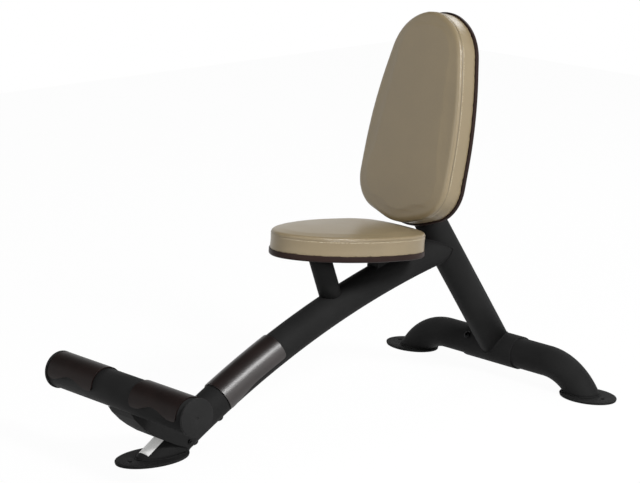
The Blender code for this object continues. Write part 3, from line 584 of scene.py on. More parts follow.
def coordinates(mesh):
    return rows_of(mesh.vertices, "co")


def normals_of(mesh):
    return rows_of(mesh.vertex_normals, "vector")


def nearest(points, line):
    """For each point, which of a line's points is nearest and how far off it is, a block at a time."""
    index, distance = np.empty(len(points), int), np.empty(len(points))
    for start in range(0, len(points), 2000):
        block = slice(start, start + 2000)
        squares = ((points[block, None] - line[None]) ** 2).sum(axis=-1)
        index[block] = squares.argmin(axis=1)
        distance[block] = np.sqrt(squares.min(axis=1))
    return index, distance


def applied(piece):
    """Gives a piece its evaluated mesh and removes its modifiers."""
    bpy.context.view_layer.update()
    graph = bpy.context.evaluated_depsgraph_get()
    mesh = bpy.data.meshes.new_from_object(piece.evaluated_get(graph))
    piece.modifiers.clear()
    piece.data = mesh


def eased(move, edges, rounds):
    """Each point's move averaged with its neighbours' moves, over and over, so that only soft swells stay."""
    first, second = edges[:, 0], edges[:, 1]
    count = np.bincount(edges.ravel(), minlength=len(move))[:, None]
    for _ in range(rounds):
        total = np.zeros_like(move)
        np.add.at(total, first, move[second])
        np.add.at(total, second, move[first])
        move = 0.4 * move + 0.6 * total / np.maximum(count, 1)
    return move


def trued(local, outline, base, wall):
    """Points near a cushion's side moved along the outline's normals onto its true side, up to the seam.

    The depth inside the outline becomes the larger of the tuck and the side's bow, a sine of the
    height. The move fades out over the last seventh below the seam, and points that lie deeper than
    the side's own zone stay.
    """
    fade, zone = 0.14, 0.006
    line = even(outline, 1600)
    index = nearest(local[:, :2], line)[0]
    way = side_ways(line)[index]
    depth = ((line[index] - local[:, :2]) * way).sum(axis=1)
    high = (local[:, 2] - base) / wall
    wanted = np.maximum(TUCK, BOW * np.sin(math.pi * np.clip(high, 0, 1)))
    weight = np.clip((1 - high) / fade, 0, 1) * (depth < zone)
    moved_by = (weight * (depth - wanted))[:, None] * way
    return np.column_stack([local[:, :2] + moved_by, local[:, 2]])


def plump(piece, outline, base, wall, swell, frame_matrix):
    """Blows the cover up like a filled cushion, held at its underside and its seam.

    Only the share of each move that goes outwards is kept: eased, then capped at the swell.
    """
    held_foot, held_seam = 0.008, 0.0028
    modify(piece, "remesh", "REMESH", mode="VOXEL", voxel_size=0.0045)
    applied(piece)
    local = trued(moved(coordinates(piece.data), frame_matrix.inverted()), outline, base, wall)
    before = moved(local, frame_matrix)
    set_points(piece.data, before)
    piece.data.update()
    ways = normals_of(piece.data)
    held = piece.vertex_groups.new(name="held")
    fixed = (local[:, 2] < base + held_foot) | (np.abs(local[:, 2] - base - wall) < held_seam)
    held.add(np.flatnonzero(fixed).tolist(), 1.0, "REPLACE")
    cloth = piece.modifiers.new("cloth", "CLOTH")
    cloth.settings.quality = 6
    cloth.settings.use_pressure = True
    cloth.settings.uniform_pressure_force = 4.0
    cloth.settings.vertex_group_mass = held.name
    cloth.settings.tension_stiffness = 30
    cloth.settings.compression_stiffness = 30
    cloth.settings.bending_stiffness = 2.0
    cloth.settings.effector_weights.gravity = 0.0
    cloth.collision_settings.use_collision = False
    scene = bpy.context.scene
    for step in range(1, 21):
        scene.frame_set(step)
    applied(piece)
    edges = np.empty(len(piece.data.edges) * 2, np.int32)
    piece.data.edges.foreach_get("vertices", edges)
    rise = ((coordinates(piece.data) - before) * ways).sum(axis=1, keepdims=True)
    rise = np.minimum(eased(np.maximum(rise, 0), edges.reshape(-1, 2), 40), swell)
    set_points(piece.data, before + rise * ways)
    piece.vertex_groups.clear()
    scene.frame_set(1)


def seam_line(piece, outline, height, matrix):
    """A closed line on the cushion: each point of the outline, looked up from outside at one height."""
    work = bmesh.new()
    work.from_mesh(piece.data)
    tree = BVHTree.FromBMesh(work)
    work.free()
    found = [tree.find_nearest(Vector(point)) for point in moved(layer(outline, height), matrix)]
    line = np.array([place for place, _, _, _ in found])
    for _ in range(4):
        line = (np.roll(line, 1, axis=0) + 2 * line + np.roll(line, -1, axis=0)) / 4
    return line, unit(np.array([normal for _, normal, _, _ in found]))


def press_seam(mesh, line, depth, width):
    """Sinks the cover along a line, by depth * exp(-(distance / width)^2) along each point's normal."""
    points = coordinates(mesh)
    distance = nearest(points, even(line, 1200))[1]
    set_points(mesh, points - normals_of(mesh) * (depth * np.exp(-(distance / width) ** 2))[:, None])
    mesh.update()


def stitches(name, line, ways, pitch, finish):
    """A row of short round-ended stitches, each a stretched sphere along the line, as one mesh.

    Point = stitch's middle + tangent * a cos u + (side cos v + way sin v) * b sin u.
    """
    half_length, thickness = 0.36 * pitch, 0.00055
    count = int(closed_run(line)[-1] / pitch)
    at = even(np.hstack([line, ways]), count * 4)
    points, out = at[::4, :3], unit(at[::4, 3:])
    tangent = unit(at[1::4, :3] - at[::4, :3])
    side = unit(np.cross(tangent, out))
    lat, lon = np.linspace(0, math.pi, 6)[:, None], circle(6)
    shape = (half_length * np.cos(lat) + 0 * lon, thickness * np.sin(lat) * np.cos(lon),
             thickness * np.sin(lat) * np.sin(lon))
    all_points = points[:, None]
    for part, way in zip(shape, (tangent, side, out)):
        all_points = all_points + part.ravel()[None, :, None] * way[:, None]
    quads = grid_faces(6, 6, False, True)
    faces = (quads[None] + (np.arange(count) * 36)[:, None, None]).reshape(-1, 4)
    mesh = bpy.data.meshes.new(name)
    mesh.from_pydata(all_points.reshape(-1, 3).tolist(), [], faces.tolist())
    shown(reworked(mesh, merge, face_outwards), finish, slot="vinyl")


def cushion(name, outline, matrix, base, wall, edge, crown, swell, welt, proud):
    """A cushion in its shell, with its stitches and its seam, a cord of one finish that stands proud."""
    mesh = outward_surface(f"{name}_cushion", moved(pad_rings(outline, base, wall, edge, crown), matrix))
    piece = shown(mesh, "vinyl", f"{name}_pad", slot="vinyl", smooth=180)
    plump(piece, outline, base, wall, swell, matrix)
    give_finish(piece.data, "vinyl")
    modify(piece, "smooth", "SUBSURF", levels=1, render_levels=1)
    applied(piece)
    piece.data.shade_smooth()
    stitch_drop, stitch_sunk = 0.0042, 0.0001
    line, ways = seam_line(piece, outline, base + wall, matrix)
    press_seam(piece.data, line, depth=0.0012, width=0.0030)
    cord(f"{name}_seam", line + proud * ways, ways, sizes().seam_radius, 8, welt, slot="vinyl")
    row, ways = seam_line(piece, outline, base + wall - stitch_drop, matrix)
    stitches(f"{name}_stitches", row - stitch_sunk * ways, ways, sizes().stitch_pitch, "thread")


def shell_rings(outline, height, lip):
    """A moulded tray: its flat underside, a quarter-round lower edge, the rim and its inner wall."""
    fillet, rim, floor = 0.005, lip + 0.0034, 0.0025
    outer = inset(outline, -lip)
    centre = (outline.max(axis=0) + outline.min(axis=0)) / 2
    rows = shrunk(inset(outer, fillet), centre, (0.0, 0.25, 0.5, 0.75, 0.93), 0.0)
    rows += rolled_out(outer, fillet, 7)
    for inwards, up in ((0, height - 0.0006), (0.0002, height - 0.0002), (0.0006, height),
                        (rim - 0.0006, height), (rim - 0.0001, height - 0.0005), (rim, 0.0028)):
        rows.append(layer(inset(outer, inwards), up))
    return np.stack(rows + shrunk(inset(outer, rim + 0.0020), centre, (1.0, 0.6, 0.0), floor))


def shell(name, outline, matrix, height, lip):
    """The moulded tray under a cushion, which reaches a lip past the cushion's outline."""
    mesh = outward_surface(f"{name}_tray", moved(shell_rings(outline, height, lip), matrix))
    shown(mesh, "trim", f"{name}_shell", slot="trim_plastic", smooth=50)


# Guards

def guard(name, node, path, start, long, radius, edge_height, finish):
    """A cover round the top of a tube, rounded at its corners, with a wall and soft edges.

    At each distance it spans angles from -a to a, where a = arccos(edge height / radius) less the
    corner's quarter circle, and it lies at the tube's radius plus a clearance.
    """
    corner, clearance, outer_skin = 0.010, 0.0005, 0.0002
    ends = corner * (1 - np.cos(np.linspace(0, math.pi / 2, 9)))
    rows = np.concatenate([ends, np.linspace(corner, long - corner, 50)[1:-1], long - ends[::-1]])
    short = np.clip(1 - np.minimum(rows, long - rows) / corner, 0, 1)
    height = edge_height(rows) + corner * (1 - np.sqrt(1 - short ** 2))
    inner = radius + clearance
    angle = np.arccos(height / inner)[:, None] * np.linspace(-1, 1, 65)
    distance = np.broadcast_to((start + rows)[:, None], angle.shape)
    points, ways = on_tube(path, inner, distance, angle)
    made = shown(surface(name, points, wrap_columns=False), finish, node, slot="guard_plastic")
    if (normals_of(made.data) * ways.reshape(-1, 3)).sum() < 0:
        made.data.flip_normals()
    walled(made, sizes().guard_wall - outer_skin, 1)
    finish_edges(made, 0.0011, 3)


# Plates and feet

def oval(width, long, centre_hole, edge, thickness, hole):
    """Rings of a flat oval with one round hole, closed on itself: under, edge, top and bore.

    Between the hole's circle and the oval the points run straight, at shares of the way.
    """
    angle = circle(160)
    rim = np.stack([width / 2 * np.cos(angle), long / 2 * np.sin(angle)], axis=1)
    from_hole = rim - centre_hole
    turn = np.arctan2(from_hole[:, 1], from_hole[:, 0])
    bore = centre_hole + hole * np.stack([np.cos(turn), np.sin(turn)], axis=1)
    flat = inset(rim, edge)
    rows = [layer(bore, 0.0004)] + shrunk(flat, bore, (0.02, 0.3, 0.65, 1.0), 0.0)
    rows += rolled_out(rim, edge, 5)[1:] + rolled_in(rim, edge, thickness - edge, 5)
    return np.stack(rows + shrunk(flat, bore, (0.65, 0.3, 0.06), thickness)
                    + [layer(bore, thickness - 0.0005)])


def foot(name, place, width, long, hole_at):
    """A steel foot plate, and the rubber pad under it, which is 1 mm smaller all round."""
    hole, steel = np.array(hole_at), 0.004
    plate = oval(width, long, hole, edge=0.0012, thickness=steel, hole=0.0055)
    pad = oval(width - 0.002, long - 0.002, hole, edge=0.0004, thickness=0.002, hole=0.0056)
    for rings, height, stuff, finish, node in (
            (plate, PLATE_TOP - steel, "steel", "powder_coat", name),
            (pad, 0.0, "rubber", "rubber", name.replace("plate", "pad"))):
        rings = moved(rings, Matrix.Translation((*place, height)))
        shown(outward_surface(f"{name}_{stuff}", rings, wrap_rows=True), finish, node, slot=finish)


# Materials

def add(tree, kind, inputs=None, stops=(), **settings):
    """Adds a shader node with its settings and the stops of its colour ramp.

    Each input takes a value or a link: from a socket, or from the first output of a node.
    """
    made = tree.nodes.new("ShaderNode" + kind)
    for key, value in settings.items():
        setattr(made, key, value)
    for key, value in (inputs or {}).items():
        if isinstance(value, bpy.types.Node):
            value = value.outputs[0]
        if isinstance(value, bpy.types.NodeSocket):
            tree.links.new(value, made.inputs[key])
        else:
            made.inputs[key].default_value = value
    for k, (place, colour) in enumerate(stops):
        made.color_ramp.elements[k].position = place
        made.color_ramp.elements[k].color = colour
    return made


def emptied(made):
    """The node tree of a new material or world, with nothing in it."""
    made.use_nodes = True
    made.node_tree.nodes.clear()
    return made.node_tree


def blank(name):
    """A new material, its empty tree, and a point's place in Object coordinates."""
    made = bpy.data.materials.new(name)
    tree = emptied(made)
    return made, tree, add(tree, "TexCoord").outputs["Object"]


def closed(made, shader):
    """The material, with this shader on its surface."""
    add(made.node_tree, "OutputMaterial", {"Surface": shader})
    return made


def shade(colour, factor):
    return tuple(c * factor for c in colour[:3]) + (1.0,)


def grey(value):
    return (value, value, value, 1.0)


WHITE = grey(1.0)


def spread(colour, low, high, start=0.3, end=0.7):
    """The two stops of a ramp: one colour made darker or lighter by two factors."""
    return [(start, shade(colour, low)), (end, shade(colour, high))]


def seen_rays(tree):
    """The Light Path node, and 1 for a ray from the camera, gloss or glass."""
    rays = add(tree, "LightPath")
    seen = add(tree, "Math", {0: rays.outputs["Is Camera Ray"], 1: rays.outputs["Is Glossy Ray"]},
               operation="MAXIMUM")
    return rays, add(tree, "Math", {0: seen, 1: rays.outputs["Is Transmission Ray"]}, operation="MAXIMUM")


def mottled(name, colour, tones, pattern, kind="TexNoise", stretch=None, cloud=None, roughs=None,
            relief=None, shader=None):
    """A material from a fine pattern, which its roughness and its relief follow.

    Its tone, the colour times a factor between two, follows the cloud where there is one. Relief is a
    strength and a depth. A glow takes the tone's colour.
    """
    made, tree, place = blank(name)
    if stretch:
        place = add(tree, "Mapping", {"Vector": place, "Scale": stretch})
    fine = add(tree, kind, {"Vector": place, **pattern})
    broad = add(tree, "TexNoise", {"Vector": place, **cloud}) if cloud else fine
    inputs = {"Base Color": add(tree, "ValToRGB", {"Fac": broad}, spread(colour, *tones)), **(shader or {})}
    if roughs:
        inputs["Roughness"] = add(tree, "ValToRGB", {"Fac": fine}, spread(WHITE, *roughs))
    if relief:
        strength, depth = relief
        inputs["Normal"] = add(tree, "Bump", {"Height": fine, "Strength": strength, "Distance": depth})
    # A glow is painted light, in the tone's colour
    if "Emission Strength" in inputs:
        inputs["Emission Color"] = inputs["Base Color"]
    return closed(made, add(tree, "BsdfPrincipled", inputs))


def upholstery_vinyl(name, factor):
    """PVC upholstery cloth, calendered and embossed with a leather grain: small soft cells, bent by a
    noise 4 mm wide, a waxy sheen, and slow changes of tone where it is stretched."""
    made, tree, place = blank(name)
    colour = shade(linear(colours().vinyl), factor)
    warp = add(tree, "TexNoise", {"Vector": place, "Scale": 1 / 0.004, "Detail": 2.0})
    bent = add(tree, "VectorMath", {0: warp.outputs["Color"], 1: (0.0009,) * 3}, operation="MULTIPLY")
    moved_place = add(tree, "VectorMath", {0: place, 1: bent}, operation="ADD")
    cells = add(tree, "TexVoronoi", {"Vector": moved_place, "Scale": 1 / sizes().grain},
                feature="DISTANCE_TO_EDGE")
    crease = add(tree, "ValToRGB", {"Fac": cells}, spread(WHITE, 0.0, 1.0, 0.0, 0.22))
    cloud = add(tree, "TexNoise", {"Vector": place, "Scale": 7.0, "Detail": 3.0})
    tone = add(tree, "ValToRGB", {"Fac": cloud}, spread(colour, 0.95, 1.05))
    # The grain's creases are darkened to 0.9 of the colour: painted shade in the creases
    dark = add(tree, "Mix", {"Factor": crease, "A": grey(0.9), "B": WHITE}, data_type="RGBA")
    mixed = add(tree, "Mix", {"Factor": 1.0, "A": tone, "B": dark.outputs[2]}, data_type="RGBA",
                blend_type="MULTIPLY")
    rough = add(tree, "ValToRGB", {"Fac": cloud}, spread(WHITE, 0.33, 0.40))
    bump = add(tree, "Bump", {"Height": crease, "Strength": 0.05, "Distance": 0.0002})
    return closed(made, add(tree, "BsdfPrincipled", {"Base Color": mixed.outputs[2], "Roughness": rough,
                                                     "Specular IOR Level": 0.65, "Normal": bump}))


def backdrop_card():
    """Matt studio card, painted: white where the camera, gloss or glass sees it, with a soft trace of
    shadow, and a dimmer pale grey as a source of light for the bench."""
    made = bpy.data.materials.new("matt_studio_card")
    tree = emptied(made)
    colour = linear(colours().backdrop)
    dim = add(tree, "BsdfDiffuse", {"Color": shade(colour, 0.55)})
    matt = add(tree, "BsdfDiffuse", {"Color": colour})
    glow = add(tree, "Emission", {"Color": colour, "Strength": 1.0})
    white = add(tree, "MixShader", {"Fac": 0.96, 1: matt, 2: glow})
    return closed(made, add(tree, "MixShader", {"Fac": seen_rays(tree)[1], 1: dim, 2: white}))


MATERIALS = {}


def make_materials():
    """Every finish: its common name, how its surface was made, and what that gives the eye."""
    # Matt powder coat, sprayed and baked on steel: near black, with a fine pebbled skin that breaks up
    # its highlights
    for key, name, factor in (("powder_coat", "powder_coated_steel", 1.0),
                              ("cap_coat", "powder_coated_cap", 1.4)):
        MATERIALS[key] = mottled(
            name, shade(linear(colours().powder_coat), factor), (0.86, 1.12),
            {"Scale": 1 / sizes().grit, "Detail": 3.0, "Roughness": 0.6},
            cloud={"Scale": 9.0, "Detail": 2.0}, roughs=(0.56, 0.70), relief=(0.30, 0.0003),
            shader={"Specular IOR Level": 0.05})
    # Moulded nylon guards, dark brown: faint flow streaks and a fine skin, under a sheen that is weaker
    # where shoes scuff it
    for key, name, sheen in (("guard", "moulded_nylon_guard", 0.75),
                             ("scuffed_guard", "scuffed_nylon_guard", 0.10)):
        MATERIALS[key] = mottled(
            name, linear(colours().guard), (0.8, 1.25, 0.3, 0.72),
            {"Scale": 1 / 0.0018, "Detail": 4.0, "Roughness": 0.7}, cloud={"Scale": 16.0, "Detail": 3.0},
            roughs=(0.34, 0.44, 0.3, 0.75), relief=(0.16, 0.0002), shader={"Specular IOR Level": sheen})
    # Vacuum-formed ABS trays, dark brown: a soft sheen and a faint leather-like grain
    MATERIALS["trim"] = mottled(
        "formed_abs_tray", linear(colours().trim), (0.88, 1.12), {"Scale": 1 / 0.0014, "Randomness": 1.0},
        kind="TexVoronoi", cloud={"Scale": 12.0, "Detail": 2.0}, relief=(0.22, 0.0002),
        shader={"Roughness": 0.42, "Specular IOR Level": 0.10})
    MATERIALS["vinyl"] = upholstery_vinyl("embossed_upholstery_vinyl", 1.0)
    # The same vinyl at 0.45 of its colour: painted shade for the back's seam cord, sunk in its groove
    MATERIALS["vinyl_painted_shade"] = upholstery_vinyl("seam_vinyl_painted_shade", 0.45)
    # Bonded polyester thread, spun: a matt twist, a shade lighter than the vinyl
    MATERIALS["thread"] = mottled(
        "bonded_polyester_thread", linear(colours().thread), (0.8, 1.1), {"Scale": 1 / 0.0005, "Detail": 1.0},
        shader={"Roughness": 0.6})
    # Moulded nitrile foot pads: dull black with a slight bloom
    MATERIALS["rubber"] = mottled(
        "moulded_nitrile_rubber", linear(colours().rubber), (0.85, 1.4, 0.3, 0.75),
        {"Scale": 1 / 0.006, "Detail": 4.0}, relief=(0.2, 0.0003),
        shader={"Roughness": 0.82, "Specular IOR Level": 0.3})
    # Birch plywood, sanded: pale bands of grain 3 mm wide along the board
    MATERIALS["plywood"] = mottled(
        "sanded_birch_plywood", linear("B08D5E"), (0.75, 1.15), {"Scale": 1.0, "Detail": 5.0},
        stretch=(330.0, 20.0, 330.0), shader={"Roughness": 0.7})
    # Plated and blackened steel screws: metal, its roughness finely mottled by the plating bath
    for key, name, code, roughs in (("zinc", "zinc_plated_steel", "A7A9AB", (0.28, 0.42)),
                                    ("black", "blackened_steel", "1E1E1F", (0.35, 0.5))):
        MATERIALS[key] = mottled(name, linear(code), (0.85, 1.0), {"Scale": 1 / 0.0012, "Detail": 3.0},
                                 roughs=roughs, shader={"Metallic": 1.0})
    # Bead-coated reflective film: plain pale grey with a faint mottle, and a slight glow, painted light that
    # lifts the strip where it lies in shade and stands for the light that its beads send back
    MATERIALS["label"] = mottled(
        "bead_coated_film_painted_glow", linear(colours().label), (0.80, 1.0, 0.35, 0.65),
        {"Scale": 1 / 0.0016, "Detail": 4.0}, shader={"Roughness": 0.5, "Emission Strength": 0.22})
    MATERIALS["backdrop"] = backdrop_card()


# Operators

class BENCH_OT_materials(bpy.types.Operator):
    """Makes every finish and gives the hidden boards theirs"""
    bl_idname = "bench.materials"
    bl_label = "Finishes"

    def execute(self, context):
        make_materials()
        for name in ("seat_board", "back_board"):
            give_finish(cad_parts[name].data, "plywood")
        return {"FINISHED"}


class BENCH_OT_frame(bpy.types.Operator):
    """Builds the tubes, fitted to each other at their ends, and the weld beads round the joints"""
    bl_idname = "bench.frame"
    bl_label = "Tubes and welds"

    def execute(self, context):
        main_r, cross_r, post_r = sizes().frame_tube / 2, sizes().cross_tube / 2, sizes().post_tube / 2
        sleeve_r = cross_r + GAP + sizes().tube_wall
        base = np.array([0, REAR, CROSS_AXIS])
        upright = straight(base, UPRIGHT_WAY)
        over_plate = above(PLATE_TOP + SEAM_GAP)
        plate_bead_lift = 0.0006

        # Every end line lies between a distance that is clear of the neighbour and one inside it
        start = end_line(main_arc, main_r, 0.2, -0.1, over_plate)
        end = end_line(main_arc, main_r, MAIN_LENGTH - 0.2, MAIN_LENGTH,
                       outside_line(base, UPRIGHT_WAY, main_r + SEAM_GAP))
        tube("main_tube_skin", main_arc, main_r, start, end, 72, "main_tube")
        bead("weld_front_plate", main_arc, main_r, start, plate_bead_lift)
        bead("weld_main_upright", main_arc, main_r, end)

        low = end_line(upright, main_r, 0.2, 0.0, outside_line(base, (1, 0, 0), sleeve_r + SEAM_GAP))
        high = end_line(upright, main_r, 0.3, 0.8, behind_plane(BACK_FRAME, UNDER_PLATE - SEAM_GAP))
        tube("upright_skin", upright, main_r, low, high, 4, "rear_upright")
        bead("weld_upright_sleeve", upright, main_r, low)
        bead("weld_back_plate", upright, main_r, high)

        floor_at = CROSS_STRAIGHT + CROSS_BEND * math.acos(1 - (CROSS_AXIS - PLATE_TOP) / CROSS_BEND)
        near = end_line(cross_arch, cross_r, -0.1, -floor_at - 0.08, over_plate)
        far = end_line(cross_arch, cross_r, 0.1, floor_at + 0.08, over_plate)
        tube("cross_tube_skin", cross_arch, cross_r, near, far, 97, "rear_cross_tube")
        bead("weld_rear_plate_left", cross_arch, cross_r, near, plate_bead_lift)
        bead("weld_rear_plate_right", cross_arch, cross_r, far, plate_bead_lift)

        left, right = SLEEVE_ENDS
        inner, edge = cross_r + GAP, 0.0007
        profile = [(inner, right)] + arc_points((sleeve_r - edge, right - edge), edge, 90, 0, 5)
        profile += arc_points((sleeve_r - edge, left + edge), edge, 0, -90, 5)
        profile += [(inner, left), (inner, right)]
        turned("sleeve_skin", profile, aimed(base, (1, 0, 0)), "powder_coat", "upright_sleeve")

        origin, up, _ = main_arc(SEAT_POST_AT)
        post = straight(origin, up)
        low = end_line(post, post_r, 0.13, 0.0, outside_main(main_r + SEAM_GAP))
        high = end_line(post, post_r, 0.05, 0.4, behind_plane(SEAT_FRAME, UNDER_PLATE - SEAM_GAP))
        tube("seat_post_skin", post, post_r, low, high, 4, "seat_post")
        bead("weld_seat_post", post, post_r, low)
        bead("weld_seat_plate", post, post_r, high)
        for node in ("seat_front_plate", "seat_rear_bracket", "back_plate", "back_plate_gusset"):
            dressed_copy(node, 0.0008)
        return {"FINISHED"}


class BENCH_OT_feet(bpy.types.Operator):
    """Builds the three oval foot plates and their rubber pads"""
    bl_idname = "bench.feet"
    bl_label = "Feet"

    def execute(self, context):
        hole_inset = 0.034
        for name in ("front_foot_plate", "rear_foot_plate_left", "rear_foot_plate_right"):
            low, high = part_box(name)
            size, place = high - low, middle(name)
            if name.startswith("front"):
                hole = (0.0, hole_inset - size.y / 2)
            else:
                hole = (math.copysign(size.x / 2 - hole_inset, place.x), 0.0)
            foot(name, (place.x, place.y), size.x, size.y, hole)
        return {"FINISHED"}


class BENCH_OT_foot_bar(bpy.types.Operator):
    """Builds the foot bar, its end caps and the arm that carries it"""
    bl_idname = "bench.foot_bar"
    bl_label = "Foot bar"

    def execute(self, context):
        centre = middle("foot_bar_tube")
        low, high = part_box("foot_bar_tube")
        radius, half = sizes().foot_bar_tube / 2, np.full_like(RING, (high.x - low.x) / 2)
        tube("foot_bar_skin", across(centre), radius, -half, half, 3, "foot_bar_tube")
        rim, edge, plug = sizes().cap_diameter / 2, 0.0016, radius - sizes().tube_wall - 0.0005
        flange, depth = 0.006, 0.024
        # A small round dimple in the middle of the face, then its rim, and the plug that fits the tube
        profile = [(0, -0.0016)] + arc_points((0.0022, -0.0006), 0.001, -90, 0, 4)
        profile += arc_points((0.0040, -0.0008), 0.0008, 180, 90, 4)
        profile += [(rim * 0.5, 0.0)] + arc_points((rim - edge, -edge), edge, 90, 0, 6)
        profile += arc_points((rim - edge, edge - flange), edge, 0, -90, 5)
        profile += [(plug, -flange), (plug, 0.001 - depth), (plug - 0.001, -depth), (0, -depth)]
        for k, (side, sign) in enumerate((("left", -1), ("right", 1))):
            node = f"foot_bar_cap_{side}"
            face = aimed((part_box(node)[k].x, centre.y, centre.z), (sign, 0, 0))
            turned(f"cap_{side}", profile, face, "cap_coat", node, smooth=45)
        dressed_copy("foot_bar_arm", 0.0022, segments=3)
        return {"FINISHED"}


class BENCH_OT_guards(bpy.types.Operator):
    """Builds the two guards on the foot bar and the one on the main tube"""
    bl_idname = "bench.guards"
    bl_label = "Guards"

    # A bar guard's lower edge is a cosine wave, centred on its middle. The other's edge lies below the
    # tube's axis and dips further, by a smooth step, over the half that is nearer the floor.
    def execute(self, context):
        wave_height, wave_share = 0.0078, 0.79
        edge_depth, dip = 0.0095, 0.0150
        bar = across(np.array(middle("foot_bar_tube")) * (0, 1, 1))
        for side in ("left", "right"):
            node = f"foot_bar_guard_{side}"
            low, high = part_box(node)
            long = high.x - low.x

            def wave(distance, long=long):
                return wave_height * np.cos(2 * math.pi * (distance - long / 2) / (wave_share * long))
            guard(f"bar_cover_{side}", node, bar, low.x, long, sizes().foot_bar_tube / 2, wave,
                  "scuffed_guard")

        def flared(distance):
            part = np.clip(1 - distance / (0.5 * COVER_LENGTH), 0, 1)
            return -edge_depth - dip * part * part * (3 - 2 * part)
        guard("main_tube_cover", "main_tube_guard", main_arc, COVER_START, COVER_LENGTH,
              sizes().frame_tube / 2, flared, "guard")
        return {"FINISHED"}


class BENCH_OT_fasteners(bpy.types.Operator):
    """Builds the screws, the cross bolt and its nut"""
    bl_idname = "bench.fasteners"
    bl_label = "Fasteners"

    def execute(self, context):
        sleeve_r = sizes().cross_tube / 2 + GAP + sizes().tube_wall + GAP
        turn, sleeve_bolt_x = math.radians(58), -0.075
        out = np.array([0, -math.sin(turn), math.cos(turn)])
        place = np.array([sleeve_bolt_x, REAR, CROSS_AXIS]) + out * sleeve_r
        button_bolt("sleeve_screw", aimed(place, out), 0.005, 0.012, "black", "sleeve_bolt", "zinc_steel")
        centre = main_arc(CROSS_BOLT_AT)[0]
        cheek, nut_height = 0.0466, 0.0064
        button_bolt("cross_bolt", aimed(centre + (cheek, 0, 0), (1, 0, 0)), 0.004, 2 * cheek + nut_height,
                    "black", "arm_cross_bolt", "black_steel", head=1.35)
        bore, corner, soft = 0.0043, 0.0070, 0.0006
        nut = [(bore, nut_height), (corner - soft, nut_height), (corner, nut_height - soft), (corner, 0),
               (bore, 0), (bore, nut_height)]
        turned("cross_nut", nut, aimed(centre - (cheek, 0, 0), (-1, 0, 0)), "black", "arm_cross_nut",
               slot="black_steel", around=6, smooth=30)
        for name, at in ARM_BOLTS_AT.items():
            point, normal, _ = main_arc(at)
            place = point - normal * (sizes().frame_tube / 2 + GAP)
            button_bolt(f"arm_screw_{name}", aimed(place, -normal), 0.005, 0.014, "black",
                        f"arm_bolt_{name}", "black_steel", head=2.2, high=0.009)
        for pad, matrix in (("seat", SEAT_FRAME), ("back", BACK_FRAME)):
            down = matrix.to_3x3() @ Vector((0, 0, -1))
            for k in range(1, 5):
                node = f"{pad}_bolt_{k}"
                local = matrix.inverted() @ middle(node)
                place = matrix @ Vector((local.x, local.y, UNDER_PLATE))
                button_bolt(f"{pad}_screw_{k}", aimed(place, down), 0.004, 0.014, "zinc", node, "zinc_steel")
        return {"FINISHED"}


class BENCH_OT_pads(bpy.types.Operator):
    """Builds the seat and back cushions, with their seams and stitches, and their trays"""
    bl_idname = "bench.pads"
    bl_label = "Pads"

    def execute(self, context):
        seat, back = egg(*SEAT_EGG), rounded_outline(BACK_FOOT, BACK_SIDE, BACK_TOP)
        shell("seat", seat, SEAT_FRAME, height=0.0155, lip=0.0016)
        shell("back", back, BACK_FRAME, height=0.0120, lip=0.0045)
        cushion("seat", seat, SEAT_FRAME, base=0.0137, wall=0.040, edge=0.0075, crown=0.006, swell=0.0025,
                welt="vinyl", proud=-0.0004)
        # The back's seam cord takes the darkened vinyl: painted shade in the seam's groove
        cushion("back", back, BACK_FRAME, base=0.0102, wall=0.0445, edge=0.012, crown=0.005, swell=0.0025,
                welt="vinyl_painted_shade", proud=-0.0011)
        return {"FINISHED"}


class BENCH_OT_label(bpy.types.Operator):
    """Lays the blank pale strip on the main tube's lower front"""
    bl_idname = "bench.label"
    bl_label = "Blank strip"

    def execute(self, context):
        start, end, reach = -0.0395, 0.028, math.radians(27)      # along the axis, and to each side
        distance, angle = np.meshgrid(np.linspace(start, end, 24), np.linspace(-reach, reach, 24),
                                      indexing="ij")
        points = on_tube(main_arc, sizes().frame_tube / 2 + 0.0003, distance, angle)[0]
        walled(shown(surface("blank_strip", points, wrap_columns=False), "label"), 0.0003, 0)
        return {"FINISHED"}


class BENCH_OT_stage(bpy.types.Operator):
    """Sets up the floor, the world, the lamps and the camera"""
    bl_idname = "bench.stage"
    bl_label = "Studio"

    def execute(self, context):
        half, depth = 4.5, -0.0002
        x, y = np.meshgrid([-half, half], [-half, half], indexing="ij")
        mesh = surface("floor", np.stack([x, y, np.full((2, 2), depth)], axis=-1), wrap_columns=False,
                       flip=True)
        floor = bpy.data.objects.new("floor", mesh)
        give_finish(mesh, "backdrop")
        context.scene.collection.objects.link(floor)
        make_world(context.scene)
        for lamp_facts in LAMPS:
            lamp(*lamp_facts)
        camera(context.scene)
        context.scene.view_settings.view_transform = "Standard"
        return {"FINISHED"}


def make_world(scene):
    """A white surround where it is seen, with a dark ceiling in gloss, and a dimmer even light on the bench.

    A ray's direction is the world's Generated coordinate: below 16 degrees up it meets the white sweep,
    and above 35 degrees the unlit ceiling.
    """
    world = bpy.data.worlds.new("studio")
    tree = emptied(world)
    rays, seen = seen_rays(tree)
    way = add(tree, "SeparateXYZ", {0: add(tree, "TexCoord").outputs["Generated"]})
    height = add(tree, "MapRange", {"Value": way.outputs["Z"], "From Min": 0.28, "From Max": 0.57},
                 interpolation_type="SMOOTHSTEP")
    ceiling = add(tree, "Math", {0: height, 1: rays.outputs["Is Glossy Ray"]}, operation="MULTIPLY")
    tone = add(tree, "ValToRGB", {"Fac": ceiling}, spread(WHITE, 1.0, 0.05, 0.0, 1.0))
    white = add(tree, "Background", {"Color": tone, "Strength": 1.0})
    fill = add(tree, "Background", {"Color": WHITE, "Strength": 0.42})
    both = add(tree, "MixShader", {"Fac": seen, 1: fill, 2: white})
    add(tree, "OutputWorld", {"Surface": both})
    scene.world = world


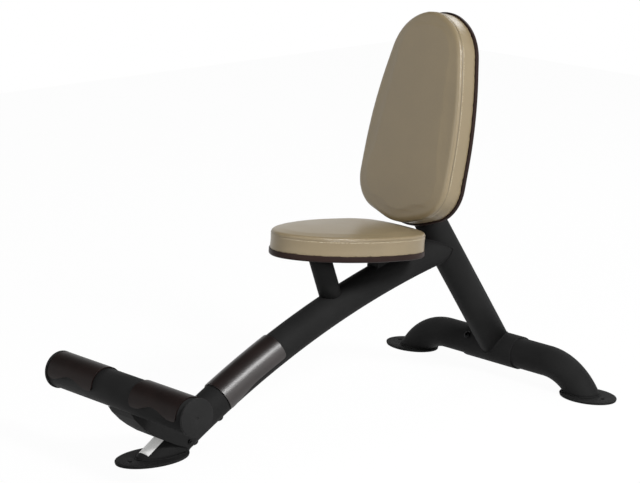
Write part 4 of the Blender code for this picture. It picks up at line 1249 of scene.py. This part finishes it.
# Name, place, what it points at, diameter and watts
LAMPS = (("key", (3.12, 0.30, 2.93), (0, -0.1, 0.35), 1.0, 128),
         ("side", (3.30, 1.10, 1.00), (0, 0, 0.5), 2.2, 7),
         ("front", (1.26, -3.60, 2.20), (0, 0, 0.45), 2.4, 25),
         ("rear", (-1.2, 3.2, 2.6), (0, 0.1, 0.5), 1.6, 22))


def lamp(name, place, target, size, power):
    data = bpy.data.lights.new(name, "AREA")
    data.shape = "DISK"
    data.size = size
    data.energy = power
    made = bpy.data.objects.new(name, data)
    made.location = place
    made.rotation_euler = (Vector(target) - Vector(place)).to_track_quat("-Z", "Y").to_euler()
    bpy.context.scene.collection.objects.link(made)


def camera(scene):
    """The photograph's viewpoint, as fitted to it: where the camera stands and its right and up."""
    data = bpy.data.cameras.new("camera")
    data.sensor_width = 36
    data.lens = 141.15
    made = bpy.data.objects.new("camera", data)
    right = Vector((0.65617, 0.75461, 0.0))
    up = Vector((-0.17157, 0.14919, 0.97381))
    turn = Matrix((right, up, right.cross(up))).transposed().to_4x4()
    made.matrix_world = Matrix.Translation((4.5482, REAR - 4.5796, 1.8552)) @ turn
    scene.collection.objects.link(made)
    scene.camera = made
STEPS = ("materials", "frame", "feet", "foot_bar", "guards", "fasteners", "pads", "label", "stage")


class BENCH_PT_panel(bpy.types.Panel):
    """Lists the steps that build the bench"""
    bl_idname = "BENCH_PT_panel"
    bl_label = "Utility Bench"
    bl_space_type = "VIEW_3D"
    bl_region_type = "UI"
    bl_category = "Bench"

    def draw(self, context):
        for step in STEPS:
            self.layout.operator(f"bench.{step}")
        for group in (context.scene.bench_sizes, context.scene.bench_colours):
            for key in group.__annotations__:
                self.layout.prop(group, key)


CLASSES = (BenchSizes, BenchColours, BENCH_OT_materials, BENCH_OT_frame, BENCH_OT_feet, BENCH_OT_foot_bar,
           BENCH_OT_guards, BENCH_OT_fasteners, BENCH_OT_pads, BENCH_OT_label, BENCH_OT_stage,
           BENCH_PT_panel)


def register():
    for cls in CLASSES:
        bpy.utils.register_class(cls)
    bpy.types.Scene.bench_sizes = bpy.props.PointerProperty(type=BenchSizes)
    bpy.types.Scene.bench_colours = bpy.props.PointerProperty(type=BenchColours)


def unregister():
    del bpy.types.Scene.bench_colours
    del bpy.types.Scene.bench_sizes
    for cls in reversed(CLASSES):
        bpy.utils.unregister_class(cls)


def main():
    register()
    for step in STEPS:
        getattr(bpy.ops.bench, step)()


if __name__ == "__main__":
    main()
